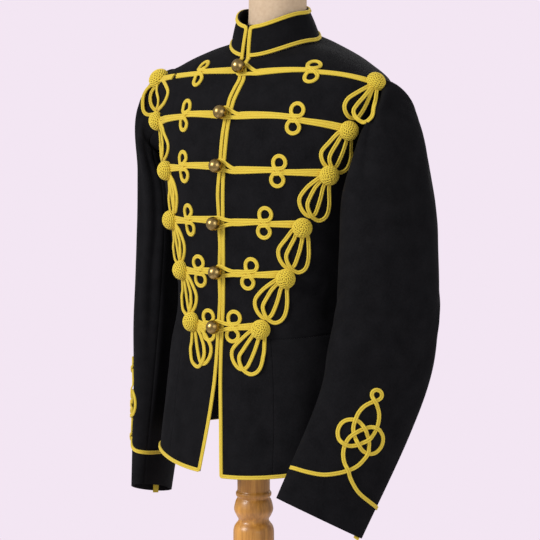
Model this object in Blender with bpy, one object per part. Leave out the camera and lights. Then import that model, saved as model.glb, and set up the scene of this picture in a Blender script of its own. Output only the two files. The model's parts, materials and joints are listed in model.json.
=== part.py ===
"""Hussar jacket on a limbless dress form and its stand.

Metres, +Z up, origin on the floor under the post.  The jacket faces -Y and the wearer's left is +X.
The cloth is cut from two surfaces: a body surface (angle round the body, row up the body) and a sleeve
surface (angle round the arm, row down the arm).  Every braid is laid on those surfaces and lifted clear.
"""
import math

import bpy
import numpy as np

for old in list(bpy.data.objects):
    bpy.data.objects.remove(old, do_unlink=True)

MM = 0.001

# Rings of the jacket's body in millimetres.  Columns: height at the front, at the side and at the back,
# half width, centre y, depth to the front, depth to the back, squareness of the ring.
BODY = np.array([
    (814, 842, 845, 192, 50, 147, 138, 2.1),    # hem
    (900, 915, 915, 181, 46, 132, 128, 2.1),    # hip
    (985, 990, 990, 168, 42, 121, 114, 2.1),    # below the waist
    (1060, 1060, 1060, 152, 40, 115, 106, 2.1),   # waist
    (1150, 1150, 1150, 166, 40, 115, 114, 2.15),  # ribs
    (1250, 1250, 1250, 182, 41, 117, 122, 2.2),   # chest
    (1325, 1328, 1332, 196, 44, 112, 120, 2.25),  # armpit
    (1373, 1388, 1394, 207, 48, 104, 108, 2.2),   # shoulder point
    (1403, 1418, 1432, 166, 52, 92, 92, 2.1),     # shoulder slope
    (1424, 1441, 1455, 113, 55, 82, 74, 2.0),     # foot of the neck
    (1431, 1453, 1466, 71, 56, 76, 60, 2.0),      # neck seam
], float)
HEM, NECK = 0.0, float(len(BODY) - 1)

# The collar's top ring, same columns as BODY
COLLAR_TOP = np.array((1479, 1502, 1516, 52, 51, 58, 50, 2.0), float)

# Rings of the two sleeves below the armhole.  Columns: centre x, y, z, half of the wide way, half of the
# narrow way, turn of the wide way to the middle and outward tilt in degrees.  The left arm is bent forward.
ARM_LEFT = np.array([
    (229, 42, 1312, 60, 56, 8, 60),
    (238, 20, 1238, 75, 47, 16, 14),
    (244, 15, 1160, 77, 52, 20, 0),
    (245, 13, 1080, 80, 52, 22, 0),
    (240, 2, 1000, 80, 48, 25, 0),
    (232, -28, 915, 74, 38, 30, 0),
    (216, -108, 781, 69, 23, 34, 0),
], float)
ARM_RIGHT = np.array([
    (227, 62, 1312, 60, 56, 8, 60),
    (235, 72, 1238, 78, 46, 16, 14),
    (238, 77, 1160, 79, 47, 20, 0),
    (239, 76, 1080, 77, 46, 20, 0),
    (240, 68, 1000, 74, 44, 20, 0),
    (239, 55, 900, 70, 36, 20, 0),
    (237, 33, 742, 66, 24, 20, 0),
], float)
CUFF = float(len(ARM_LEFT))

# Armhole: lowest and highest body row, reach to the front and to the back in degrees round the body
HOLE_LOW, HOLE_TOP, HOLE_FRONT, HOLE_BACK = 5.3, 7.1, 22.0, 32.0
FRONT_FALL, BACK_FALL = 1.2, 0.4          # how far down the hole its widest part lies
HOLE_STEPS = 8                            # chords on each side of the hole
HOLE_FULL, CROWN_FULL = 15.0, 8.0         # how far the sleeve stands out under the arm and on the shoulder
SLEEVE_SEAT = 2.15                        # the sleeve's end stands this far off the body's middle surface

# Seams
CLOTH = 2.0                               # cloth with its lining and padding
COLLAR_CLOTH = 2.4
SIDE_SEAM = 90.0
SKIRT_SEAM = 31.0                         # where the skirt meets the long front
WAIST_SEAM = 2.47                         # body row of the waist seam
SEAM_TURN, SEAM_ROW = 0.06, 0.003         # half a seam's gap round the body and up it
ARM_SEAM_TURN = 0.24
FOREARM_SEAM, HINDARM_SEAM = 112.5, -112.5

# Front opening: closed to this height, then parting to the hem
OPENS_AT, OPEN_POWER = 1010.0, 1.5
OPEN_HALF = {1: 17.0, -1: 24.0}           # left front, right front
EDGE_CLEAR = 0.3

# Braid: width, height, lift off the cloth's middle surface
CORD_WIDE, CORD_HIGH, CORD_LIFT = 5.6, 2.9, CLOTH / 2 + 0.7
BAR_WIDE, BAR_HIGH, BAR_STEP = 10.3, 2.7, 15.0
EDGE_BRAID_IN = 3.4                       # centre of the braid from the front edge

# Six rows of frogging.  Columns: height of the bar at the front edge, then for the left and the right:
# run from the front edge to the figure eight, run to the knot, height of the knot; then the size of the
# drop, and extra lift where the chest curves more
ROWS = [
    dict(front=1416, eight=(124, 84), knot=(227, 214), knot_z=(1398, 1391), drop=0.76, lift=0.8),
    dict(front=1351, eight=(122, 88), knot=(201, 190), knot_z=(1329, 1327), drop=0.72, lift=0.4),
    dict(front=1272, eight=(101, 82), knot=(177, 148), knot_z=(1263, 1256), drop=1.0),
    dict(front=1188, eight=(79, 69), knot=(139, 132), knot_z=(1186, 1182), drop=1.0),
    dict(front=1113, eight=(52, 46), knot=(109, 98), knot_z=(1110, 1108), drop=1.0),
    dict(front=1033, eight=(25, 24), knot=(69, 64), knot_z=(1034, 1033), drop=1.0),
]
BAR_BEND = 3.0                            # the bars fall away near the knot
EIGHT_RING, EIGHT_REACH = 9.5, 13.2       # radius of its rings, their distance from the bar
KNOT_R, KNOT_HIGH, KNOT_LIFT = 14.0, 8.5, CLOTH / 2 + 4.6
BUTTON_R, BUTTON_RUN = 9.9, 6.0
BUTTON_LIFT, SHANK_R = CLOTH / 2 + 14.5, 2.4
LOOP_R, LOOP_LIFT, LOOP_FROM, LOOP_OVER = 9.0, 3.5, 21.0, 8.0
LOOP_WIDE, LOOP_HIGH = 4.76, 2.32         # the button loop's own cord is thinner
BAR_END = 6.5                             # a right-hand bar ends this far past its button

# The drop under each knot: two interlocked loops of cord, measured out and up from the knot
DROP_INNER = [(-8, 2), (-26, -15), (-41, -31), (-45, -43), (-38, -53),
              (-28, -55), (-19, -48), (-12, -33), (-4, -15), (3, 2)]
DROP_OUTER = [(8, 2), (9, -16), (6, -36), (0, -55), (-10, -65),
              (-19, -64), (-26, -54), (-26, -40), (-16, -17), (-3, 2)]

# Half of the cord knot over each cuff, from its foot to the top of its ring: out and up in millimetres
CUFF_KNOT = [(0, 3), (-10, 13), (-16.5, 26.5), (-17.5, 41), (-13.5, 53), (-5, 63), (5, 71.5), (14, 75),
             (24.5, 72.5), (32, 66.5), (35, 56), (32, 45), (25, 38), (15, 36), (5.5, 39), (-5, 47.5),
             (-14, 59), (-17, 72), (-16, 86.5), (-11, 98.5), (-2, 108), (6.5, 114.5), (8, 122), (0, 127)]
CUFF_KNOT_FOOT = 71.0                     # its foot above the cuff's end
CUFF_KNOT_LEAN = {"left": 0.09, "right": -0.03}   # how far the knot leans to the front, for one of its height
# Braid from the front to the foot, out and up, then the braid at the back
CUFF_LINE = {"left": [(78, 45), (54, 47), (30, 53), (12, 64)], "right": [(36, 58), (22, 61), (10, 67)]}
CUFF_BACK = [(-12, 63), (-30, 53), (-54, 49), (-78, 48)]
CUFF_TURN = {"left": 0.0, "right": 34.0}  # girth from the outermost line to the knot; the right sleeve hangs turned
CROSS_LIFT = CORD_HIGH + 0.5
CROSS_NEAR, CROSS_FAR = 6.0, 11.0         # the lift is full within the first, gone at the second
CUFF_CORD_CLEAR = {"left": 0.6, "right": 0.45}

# Form and stand
FORM_FOOT = 2.36                          # body row of the form's underside
FORM_FOOT_Z = 1013.0
FORM_FOOT_Y = 40.0
# body row, gap between the form and the cloth's middle surface
FORM_GAP = [(2.0, 9.0), (4.0, 7.0), (5.5, 4.0), (6.6, 3.4), (7.6, 3.2), (8.6, 2.1), (NECK, 2.1)]
NECK_Y = 54.0
NECK_COLUMN = [(58, 1474), (49, 1484), (45, 1498), (44, 1520), (44, 1546)]   # radius, height
NECK_CAP = [(43.0, 1546.3), (44.5, 1550), (42.0, 1558), (30.0, 1564)]
POST = [(22, 50.3), (30, 58), (31, 70), (24, 84), (21, 120), (19, 260), (21, 420),
        (26, 560), (30, 660), (31, 704), (29, 718), (22, 728), (25, 736), (28.5, 744),
        (27, 756), (24.8, 763), (26.8, 766.5), (26.8, 771), (24.8, 774.5), (24.7, 1012.6)]
BASE = [(196, 0.0), (200, 8), (200, 18), (190, 26), (120, 34), (60, 44), (40, 50)]
TURNED_SIDES = 20


def spline(table, at):
    """Smooth curve through the rows of a table; at counts the rows."""
    at = np.clip(np.asarray(at, float), 0, len(table) - 1)
    low = np.clip(at.astype(int), 0, len(table) - 2)
    part = (at - low)[..., None]

    def row(number):
        return table[np.clip(number, 0, len(table) - 1)]
    a, b, c, d = row(low - 1), row(low), row(low + 1), row(low + 2)
    a = np.where((low == 0)[..., None], 2 * b - c, a)
    d = np.where((low == len(table) - 2)[..., None], 2 * c - b, d)
    return 0.5 * (2 * b + (c - a) * part + (2 * a - 5 * b + 4 * c - d) * part ** 2
                  + (3 * b - a - 3 * c + d) * part ** 3)


def ring(sizes, turn):
    """Points of one or many rings at an angle from the centre front, positive to the wearer's left."""
    front_z, side_z, back_z, wide, mid_y, front, back, square = np.moveaxis(sizes, -1, 0)
    s, c = np.sin(np.radians(turn)), np.cos(np.radians(turn))
    across = np.sign(s) * np.abs(s) ** (2 / square)
    along = np.sign(c) * np.abs(c) ** (2 / square)
    height = side_z + np.where(c > 0, front_z - side_z, back_z - side_z) * c ** 2
    return np.stack([wide * across, mid_y - np.where(c > 0, front, back) * along, height], -1)


def body(turn, row):
    """Point of the jacket's body."""
    turn, row = np.broadcast_arrays(np.asarray(turn, float), np.asarray(row, float))
    return ring(spline(BODY, row), turn)


def unit(vectors):
    """Vectors scaled to length one."""
    return vectors / np.linalg.norm(vectors, axis=-1, keepdims=True)


def body_out(turn, row):
    """Outward direction of the body surface."""
    turn, row = np.broadcast_arrays(np.asarray(turn, float), np.asarray(row, float))
    step, rise = 0.6, 0.04
    round_it = body(turn + step, row) - body(turn - step, row)
    up_it = body(turn, np.minimum(row + rise, NECK)) - body(turn, np.maximum(row - rise, HEM))
    return unit(np.cross(round_it, up_it))


SCAN_TURN = np.linspace(0, 125, 251)
SCAN_ROW = np.linspace(HEM, NECK, 401)


def turn_at(run, row):
    """Angle at which the cloth has run this far from the centre front along its row."""
    line = body(SCAN_TURN, np.full(len(SCAN_TURN), row))
    length = np.concatenate([[0], np.cumsum(np.linalg.norm(np.diff(line, axis=0), axis=1))])
    return math.copysign(np.interp(abs(run), length, SCAN_TURN), run)


def row_at(height, turn):
    """Body row at a height on one line of the body."""
    return float(np.interp(height, body(np.full(len(SCAN_ROW), turn), SCAN_ROW)[:, 2], SCAN_ROW))


def on_body(run, height):
    """Angle and row of the place at this run from the centre front and this height."""
    turn, row = 0.0, row_at(height, 0)
    for _ in range(9):
        turn = turn_at(run, row)
        row = row_at(height, turn)
    return turn, row


def laid(run, height, lift):
    """Point on the body at a run and a height, lifted off the cloth's middle surface."""
    turn, row = on_body(run, height)
    return body(turn, row) + lift * body_out(turn, row)


def hole(phi):
    """Angle and row of the armhole's edge: phi 0 at the shoulder, 90 at the front, 180 under the arm."""
    phi = np.radians(np.asarray(phi, float))
    low = (1 - np.cos(phi)) / 2
    row = (HOLE_TOP + HOLE_LOW) / 2 + (HOLE_TOP - HOLE_LOW) / 2 * np.cos(phi)
    reach = np.where(np.sin(phi) > 0, HOLE_FRONT * low ** FRONT_FALL, HOLE_BACK * low ** BACK_FALL)
    return SIDE_SEAM - reach * np.sin(phi), row


def arm_rings(arm, phi):
    """Rings of a left-hand sleeve at the angles phi, the armhole first."""
    around = np.radians(phi)
    turn, row = hole(phi)
    rings = [body(turn, row)]
    runs = np.gradient(arm[:, :3], axis=0)
    for (x, y, z, wide, narrow, twist, tilt), run in zip(arm, runs):
        down = unit(run)
        twist, tilt = math.radians(twist), math.radians(tilt)
        front = np.array([-math.sin(twist), -math.cos(twist), 0])
        front = unit(front - down * (front @ down))
        outer = np.cross(down, front)
        outer = outer * math.copysign(1, outer[0])
        outer = outer * math.cos(tilt) - down * math.sin(tilt)
        rings.append(np.array([x, y, z]) + narrow * np.cos(around)[:, None] * outer
                     + wide * np.sin(around)[:, None] * front)
    return np.array(rings)


def sleeve(arm, phi, rows):
    """Grid of sleeve points, one line for each row and one column for each angle."""
    phi, rows = np.asarray(phi, float), np.asarray(rows, float)
    rings = arm_rings(arm, phi)
    grid = spline(rings.reshape(len(rings), -1), rows).reshape(len(rows), len(phi), 3)
    high = np.cos(np.radians(phi))
    full = HOLE_FULL * (1 - high) / 2 + CROWN_FULL * np.clip(high, 0, 1) ** 2
    near = np.clip(rows, 0, 1)[:, None]
    puff = np.sin(np.pi * near) * full + SLEEVE_SEAT * (1 - near)
    return grid + puff[..., None] * body_out(*hole(phi))


def sleeve_out(arm, phi, rows):
    """Outward directions of the sleeve."""
    phi, rows = np.asarray(phi, float), np.asarray(rows, float)
    step, fall = 2.0, 0.05
    round_it = sleeve(arm, phi + step, rows) - sleeve(arm, phi - step, rows)
    down_it = sleeve(arm, phi, np.minimum(rows + fall, CUFF)) - sleeve(arm, phi, np.maximum(rows - fall, 0))
    return unit(np.cross(round_it, down_it))


def material(name, colour, roughness, metal=0.0):
    """Plain Principled material."""
    made = bpy.data.materials.new(name)
    made.use_nodes = True
    shader = made.node_tree.nodes["Principled BSDF"]
    shader.inputs["Base Color"].default_value = (*colour, 1)
    shader.inputs["Roughness"].default_value = roughness
    shader.inputs["Metallic"].default_value = metal
    made.diffuse_color = (*colour, 1)
    return made


def flat_mesh(name, points, faces):
    """Mesh object in millimetres, not yet scaled."""
    mesh = bpy.data.meshes.new(name)
    mesh.from_pydata([tuple(map(float, p)) for p in points], [], [tuple(map(int, f)) for f in faces])
    mesh.update()
    made = bpy.data.objects.new(name, mesh)
    bpy.context.scene.collection.objects.link(made)
    return made


def node(name, points, faces, colour_of):
    """One finished piece: points in millimetres, faces turned outward, its own material."""
    made = flat_mesh(name, np.asarray(points) * MM, faces)
    made.data.materials.append(material(name, *LOOKS[colour_of]))
    return made


LOOKS = {
    "wool": ((0.012, 0.012, 0.015), 0.95),
    "braid": ((0.79, 0.60, 0.065), 0.85),
    "brass": ((0.42, 0.33, 0.20), 0.35, 1.0),
    "linen": ((0.68, 0.58, 0.46), 0.9),
    "wood": ((0.30, 0.13, 0.05), 0.4),
}


def shell(name, grid, out, cells, thick=CLOTH, colour_of="wool"):
    """A sheet of cloth as a closed solid: a grid of middle points moved out and in by half its thickness."""
    lines, columns = grid.shape[:2]
    flat, ways = grid.reshape(-1, 3), out.reshape(-1, 3)
    quads = []
    for i in range(lines - 1):
        for j in range(columns - 1):
            if cells[i, j]:
                here, above = i * columns + j, (i + 1) * columns + j
                quads.append((here, here + 1, above + 1, above))
    a, b, c, d = (flat[[q[k] for q in quads]] for k in range(4))
    facing = np.einsum("ij,ij->i", np.cross(c - a, d - b), ways[[q[0] for q in quads]])
    if facing.sum() < 0:
        quads = [q[::-1] for q in quads]
    used = sorted({corner for q in quads for corner in q})
    place = {corner: k for k, corner in enumerate(used)}
    count = len(used)
    points = np.concatenate([flat[used] + ways[used] * thick / 2, flat[used] - ways[used] * thick / 2])
    faces, edges = [], set()
    for q in quads:
        q = [place[corner] for corner in q]
        faces.append(q)
        faces.append([corner + count for corner in q[::-1]])
        edges.update(zip(q, q[1:] + q[:1]))
    for start, end in sorted(edges):
        if (end, start) not in edges:
            faces.append([end, start, start + count, end + count])
    return node(name, points, faces, colour_of)


def tube(points, sides, ups, wide, high, closed=False):
    """Roof-shaped braid along a path: flat foot of the given width, ridge of the given height."""
    points, sides, ups = (np.asarray(part, float) for part in (points, sides, ups))
    section = [points - sides * wide / 2, points + sides * wide / 2, points + ups * high]
    count = len(points)
    corners = np.stack(section, axis=1).reshape(-1, 3)
    faces = []
    for i in range(count if closed else count - 1):
        k = (i + 1) % count
        for m in range(3):
            n = (m + 1) % 3
            faces.append([i * 3 + m, i * 3 + n, k * 3 + n, k * 3 + m])
    if not closed:
        faces.append([2, 1, 0])
        faces.append([(count - 1) * 3 + m for m in range(3)])
    return corners, faces


def outward(points, faces):
    """Faces turned so that the solid's volume is positive."""
    volume = 0.0
    for face in faces:
        for k in range(1, len(face) - 1):
            a, b, c = points[face[0]], points[face[k]], points[face[k + 1]]
            volume += np.dot(a, np.cross(b, c))
    return faces if volume > 0 else [list(face)[::-1] for face in faces]


def directions(path, closed=False):
    """Unit directions along a path."""
    if closed:
        return unit(np.roll(path, -1, axis=0) - np.roll(path, 1, axis=0))
    return unit(np.gradient(path, axis=0))


def braid(name, path, ups):
    """A single braid as its own piece, along 3-D points with an up direction at each."""
    path, ups = np.asarray(path), np.asarray(ups)
    sides = unit(np.cross(directions(path), ups))
    points, faces = tube(path, sides, ups, CORD_WIDE, CORD_HIGH)
    return node(name, points, outward(points, faces), "braid")


def smooth_path(points, pieces):
    """Evenly counted points on a smooth curve through a few places."""
    return spline(np.asarray(points, float), np.linspace(0, len(points) - 1, pieces))


def flat_braid(path, wide, high, foot, closed=False):
    """A braid in the flat: run, height and lift, before it is laid on the body."""
    path = np.asarray(path, float)
    path3 = np.column_stack([path, np.full(len(path), foot)])
    ups = np.tile([0.0, 0.0, 1.0], (len(path), 1))
    sides = np.cross(directions(path3, closed), ups)
    points, faces = tube(path3, sides, ups, wide, high, closed)
    return flat_mesh("flat braid", points, outward(points, faces))


def joined(pieces):
    """The union of several closed solids as points and faces; the pieces are used up."""
    whole = pieces[0]
    for piece in pieces[1:]:
        join = whole.modifiers.new("join", "BOOLEAN")
        join.operation = "UNION"
        join.solver = "EXACT"
        join.object = piece
    view = bpy.context.evaluated_depsgraph_get()
    mesh = bpy.data.meshes.new_from_object(whole.evaluated_get(view))
    points = np.array([v.co[:] for v in mesh.vertices])
    faces = [list(p.vertices) for p in mesh.polygons]
    for piece in pieces:
        bpy.data.objects.remove(piece, do_unlink=True)
    bpy.data.meshes.remove(mesh)
    return points, faces


def opening(side, height):
    """How far a front edge stands from the centre front at a height."""
    part = max(0.0, (OPENS_AT - height) / (OPENS_AT - BODY[0, 0]))
    return EDGE_CLEAR + OPEN_HALF[side] * part ** OPEN_POWER


# Cloth of the body: rows shared by every piece, so that neighbours have the same chords at their seams
LOW_ROWS = np.linspace(HEM, WAIST_SEAM, 6)
SIDE_ROWS = np.linspace(WAIST_SEAM, HOLE_LOW, 7)
HOLE_PHI = np.linspace(180, 0, HOLE_STEPS + 1)
HIGH_ROWS = np.linspace(HOLE_TOP, NECK, 8)
UP_ROWS = np.concatenate([SIDE_ROWS, hole(HOLE_PHI)[1][1:], HIGH_ROWS[1:]])


def edge_turn(row, front):
    """Angle of the side seam, the armhole or the shoulder seam at a row."""
    if not HOLE_LOW < row < HOLE_TOP:
        return SIDE_SEAM
    mid, half = (HOLE_TOP + HOLE_LOW) / 2, (HOLE_TOP - HOLE_LOW) / 2
    phi = math.degrees(math.acos(np.clip((row - mid) / half, -1, 1)))
    return float(hole(phi if front else -phi)[0])


def seam_gap(row):
    """The seam gap; at the armhole it is left to the sleeve."""
    return 0.0 if HOLE_LOW < row < HOLE_TOP else SEAM_TURN


def front_panel(side, name):
    """One front: long at the centre, cut off at the waist seam toward the side."""
    rows = np.concatenate([LOW_ROWS[:-1], [WAIST_SEAM, WAIST_SEAM + SEAM_ROW], UP_ROWS[1:]])
    lines = []
    for row in rows:
        centre_z = float(body(0, row)[2])
        start = abs(turn_at(opening(side, centre_z), row))
        inner = np.linspace(start, SKIRT_SEAM - SEAM_TURN, 5)
        outer = np.linspace(SKIRT_SEAM, edge_turn(row, True) - seam_gap(row), 7)[1:]
        lines.append(np.concatenate([inner, outer]) * side)
    turns = np.array(lines)
    rows = np.repeat(rows[:, None], turns.shape[1], axis=1)
    cells = np.ones((turns.shape[0] - 1, turns.shape[1] - 1), bool)
    cells[:len(LOW_ROWS), 4:] = False
    return shell(name, body(turns, rows), body_out(turns, rows), cells)


def back_panel(name):
    """The back above the waist, one piece from side seam to side seam."""
    rows = UP_ROWS.copy()
    rows[0] += SEAM_ROW
    half = np.array([np.linspace(edge_turn(row, False) + seam_gap(row), 180, 8) for row in rows])
    turns = np.concatenate([half, 360 - half[:, -2::-1]], axis=1)
    rows = np.repeat(rows[:, None], turns.shape[1], axis=1)
    cells = np.ones((turns.shape[0] - 1, turns.shape[1] - 1), bool)
    return shell(name, body(turns, rows), body_out(turns, rows), cells)


def skirt_panel(side, name):
    """One skirt, from the long front to the centre back."""
    rows = LOW_ROWS.copy()
    rows[-1] -= SEAM_ROW
    line = np.concatenate([np.linspace(SKIRT_SEAM, SIDE_SEAM, 7), np.linspace(SIDE_SEAM, 180, 8)[1:]])
    line[0] += SEAM_TURN
    line[-1] -= SEAM_TURN
    turns, rows = np.meshgrid(line * side, rows)
    cells = np.ones((turns.shape[0] - 1, turns.shape[1] - 1), bool)
    return shell(name, body(turns, rows), body_out(turns, rows), cells)


SLEEVE_ROWS = np.array([0, 0.25, 0.6, 1, 1.5, 2, 2.7, 3.4, 4.1, 4.8, 5.4, 6, 6.5, CUFF])


def sleeve_panel(arm, side, first, last, name):
    """One half of a two-piece sleeve between two angles round the arm."""
    phi = np.linspace(first, last, round((last - first) / (180 / HOLE_STEPS)) + 1)
    phi[0] += ARM_SEAM_TURN
    phi[-1] -= ARM_SEAM_TURN
    grid, out = sleeve(arm, phi, SLEEVE_ROWS), sleeve_out(arm, phi, SLEEVE_ROWS)
    mirror = np.array([side, 1, 1])
    cells = np.ones((grid.shape[0] - 1, grid.shape[1] - 1), bool)
    return shell(name, grid * mirror, out * mirror, cells)


front_panel(1, "front_left")
front_panel(-1, "front_right")
back_panel("back")
skirt_panel(1, "skirt_left")
skirt_panel(-1, "skirt_right")
for arm, side, word in ((ARM_LEFT, 1, "left"), (ARM_RIGHT, -1, "right")):
    sleeve_panel(arm, side, HINDARM_SEAM, FOREARM_SEAM, "sleeve_top_" + word)
    sleeve_panel(arm, side, FOREARM_SEAM, HINDARM_SEAM + 360, "sleeve_under_" + word)

# Collar: one standing band, open at the front
COLLAR_FOOT = CLOTH / 2 + 0.4
COLLAR_OPEN = 2.5


def collar_point(turn, part):
    """Point of the collar's middle surface, part 0 at the neck seam and 1 at the top."""
    turn = np.asarray(turn, float)
    foot = body(turn, np.full(turn.shape, NECK)) + np.array([0, 0, COLLAR_FOOT])
    top = ring(np.broadcast_to(COLLAR_TOP, turn.shape + COLLAR_TOP.shape), turn)
    part = np.asarray(part, float)[..., None]
    return foot + (top - foot) * part


def collar_out(turn, part):
    """Outward direction of the collar."""
    turn, part = np.broadcast_arrays(np.asarray(turn, float), np.asarray(part, float))
    step, rise = 0.6, 0.05
    round_it = collar_point(turn + step, part) - collar_point(turn - step, part)
    return unit(np.cross(round_it, collar_point(turn, part + rise) - collar_point(turn, part - rise)))


collar_start = math.degrees(COLLAR_OPEN / BODY[-1, 3])
turns, parts = np.meshgrid(np.linspace(collar_start, 360 - collar_start, 29), np.linspace(0, 1, 4))
shell("collar", collar_point(turns, parts), collar_out(turns, parts), np.ones((3, 28), bool), COLLAR_CLOTH)

# Braid round the collar: up one front edge, along the top and down the other, and one along its foot
COLLAR_LIFT = COLLAR_CLOTH / 2 + 0.5
EDGE_IN, TOP_IN, FOOT_IN = 5.0, 0.925, 0.095
first, last = collar_start + EDGE_IN, 360 - collar_start - EDGE_IN
upright = np.linspace(0.22, 0.8, 4)
trail = [(first - 2, p) for p in upright] + [(first, 0.9)]
trail += [(t, TOP_IN) for t in np.linspace(first + 7, last - 7, 29)]
trail += [(last, 0.9)] + [(last + 2, p) for p in upright[::-1]]
turns, parts = np.array(trail).T
out = collar_out(turns, parts)
braid("collar_edge_braid", collar_point(turns, parts) + out * COLLAR_LIFT, out)
turns = np.linspace(first - 2, last + 2, 33)
parts = np.full(turns.shape, FOOT_IN)
out = collar_out(turns, parts)
braid("collar_foot_braid", collar_point(turns, parts) + out * COLLAR_LIFT, out)

# Braid down each front edge and on along the hem to the centre back
EDGE_TOP, HEM_UP, HEM_BRAID_ROW = 1424.0, 4.0, 0.055
for side, word in ((1, "left"), (-1, "right")):
    marks = []
    for height in np.concatenate([np.linspace(EDGE_TOP, 1010, 22), np.linspace(1010, 832, 8)[1:]]):
        marks.append(on_body(side * (opening(side, height) + EDGE_BRAID_IN), height))
    corner = abs(turn_at(opening(side, BODY[0, 0]) + EDGE_BRAID_IN, HEM))
    marks.append((side * (corner + 0.4), 0.09))
    marks += [(side * t, HEM_BRAID_ROW) for t in np.linspace(corner + 2.0, 179.0, 30)]
    turns, rows = np.array(marks).T
    out = body_out(turns, rows)
    braid("edge_braid_" + word, body(turns, rows) + out * CORD_LIFT, out)


def bar_height(row, k, run):
    """Height of a bar's centre line at a run from the front edge."""
    fall = row["front"] - row["knot_z"][k]
    return row["front"] - fall * (np.abs(run) / row["knot"][k]) ** BAR_BEND


def frog(number, row, side, word):
    """One frog: bar, figure eight, drop and, on the left, the loop for the button, joined in the flat."""
    k = 0 if side > 0 else 1
    eight, knot, knot_z = row["eight"][k], row["knot"][k], row["knot_z"][k]
    start = LOOP_OVER if side > 0 else BUTTON_RUN + BAR_END
    run = np.linspace(start, knot + 3, 2 + round(knot / BAR_STEP))
    pieces = [flat_braid(np.column_stack([run, bar_height(row, k, run)]), BAR_WIDE, BAR_HIGH, 0.0)]
    middle = np.array([eight, bar_height(row, k, eight)])
    lean = math.atan2(bar_height(row, k, eight + 5) - bar_height(row, k, eight - 5), 10)
    across = np.array([-math.sin(lean), math.cos(lean)])
    angles = np.radians(np.arange(8) * 45 + 22.5)
    circle = EIGHT_RING * np.column_stack([np.cos(angles), np.sin(angles)])
    for way, foot in ((1, 0.11), (-1, 0.17)):
        path = middle + across * EIGHT_REACH * way + circle
        pieces.append(flat_braid(path, CORD_WIDE, CORD_HIGH, foot, True))
    for places, foot in ((DROP_INNER, 0.23), (DROP_OUTER, 0.31)):
        path = smooth_path(places, 12) * row["drop"] + np.array([knot, knot_z])
        pieces.append(flat_braid(path, CORD_WIDE, CORD_HIGH, foot))
    if side > 0:
        angles = np.radians(np.linspace(38, 322, 10))
        bend = np.column_stack([np.cos(angles), np.sin(angles)]) * LOOP_R
        bend = bend + np.array([-BUTTON_RUN, row["front"]])
        ends = np.array([(LOOP_OVER + 6, row["front"] + 1.6), (LOOP_OVER + 6, row["front"] - 1.6)])
        path = np.concatenate([ends[:1], bend, ends[1:]])
        pieces.append(flat_braid(path, LOOP_WIDE, LOOP_HIGH, 0.07))
    points, faces = joined(pieces)
    placed = []
    for run_to, height, lift in points:
        over = np.clip((LOOP_FROM - run_to) / (LOOP_FROM - LOOP_OVER), 0, 1) if side > 0 else 0.0
        over = over * over * (3 - 2 * over) * LOOP_LIFT
        placed.append(laid(side * run_to, height, CORD_LIFT + row.get("lift", 0.0) + over + lift))
    placed = np.array(placed)
    return node(f"frog_{word}_{number}", placed, outward(placed, faces), "braid")


def dome(name, run, height, lift):
    """A crocheted knot: a low dome over the end of a bar."""
    spokes, levels = 10, 3
    edge, under = 1.2, 0.9                # height of its edge, width of its foot
    flat = [(0.0, 0.0, 0.0)]
    for level in range(levels):
        rise = math.radians(90 * level / levels)
        for spoke in range(spokes):
            angle = 2 * math.pi * spoke / spokes
            reach = KNOT_R * math.cos(rise)
            flat.append((reach * math.cos(angle), reach * math.sin(angle),
                         edge + (KNOT_HIGH - edge) * math.sin(rise)))
    foot = [(x * under, y * under, 0.0) for x, y, _ in flat[1:spokes + 1]]
    flat = flat + [(0.0, 0.0, KNOT_HIGH)] + foot
    crown, first_foot = 1 + spokes * levels, 2 + spokes * levels
    faces = []
    for spoke in range(spokes):
        after = (spoke + 1) % spokes
        faces.append([0, first_foot + after, first_foot + spoke])
        faces.append([first_foot + spoke, first_foot + after, 1 + after, 1 + spoke])
        for level in range(levels - 1):
            low, up = 1 + level * spokes, 1 + (level + 1) * spokes
            faces.append([low + spoke, low + after, up + after, up + spoke])
        faces.append([1 + (levels - 1) * spokes + spoke, 1 + (levels - 1) * spokes + after, crown])
    turn, row = on_body(run, height)
    origin, up = body(turn, row), body_out(turn, row)
    across = unit(np.cross([0, 0, 1], up))
    rising = np.cross(up, across)
    points = np.array([origin + x * across + y * rising + (lift + z) * up for x, y, z in flat])
    return node(name, points, outward(points, faces), "braid")


def turned(name, profile, centre, axis, colour_of, sides=TURNED_SIDES):
    """A turned solid: radius and height pairs along an axis from a centre, closed at both ends."""
    axis = unit(np.asarray(axis, float))
    guide = np.array([1.0, 0, 0]) if abs(axis[0]) < 0.9 else np.array([0, 1.0, 0])
    across = unit(np.cross(guide, axis))
    along = np.cross(axis, across)
    points = []
    for radius, height in profile:
        for k in range(sides):
            angle = 2 * math.pi * k / sides
            spoke = math.cos(angle) * across + math.sin(angle) * along
            points.append(centre + height * axis + radius * spoke)
    last = len(profile) - 1
    points.append(centre + profile[0][1] * axis)
    points.append(centre + profile[-1][1] * axis)
    faces = []
    for level in range(last):
        for k in range(sides):
            n = (k + 1) % sides
            low, up = level * sides, (level + 1) * sides
            faces.append([low + k, low + n, up + n, up + k])
    for k in range(sides):
        n = (k + 1) % sides
        faces.append([len(points) - 2, n, k])
        faces.append([len(points) - 1, last * sides + k, last * sides + n])
    points = np.array(points)
    return node(name, points, outward(points, faces), colour_of)


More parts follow.
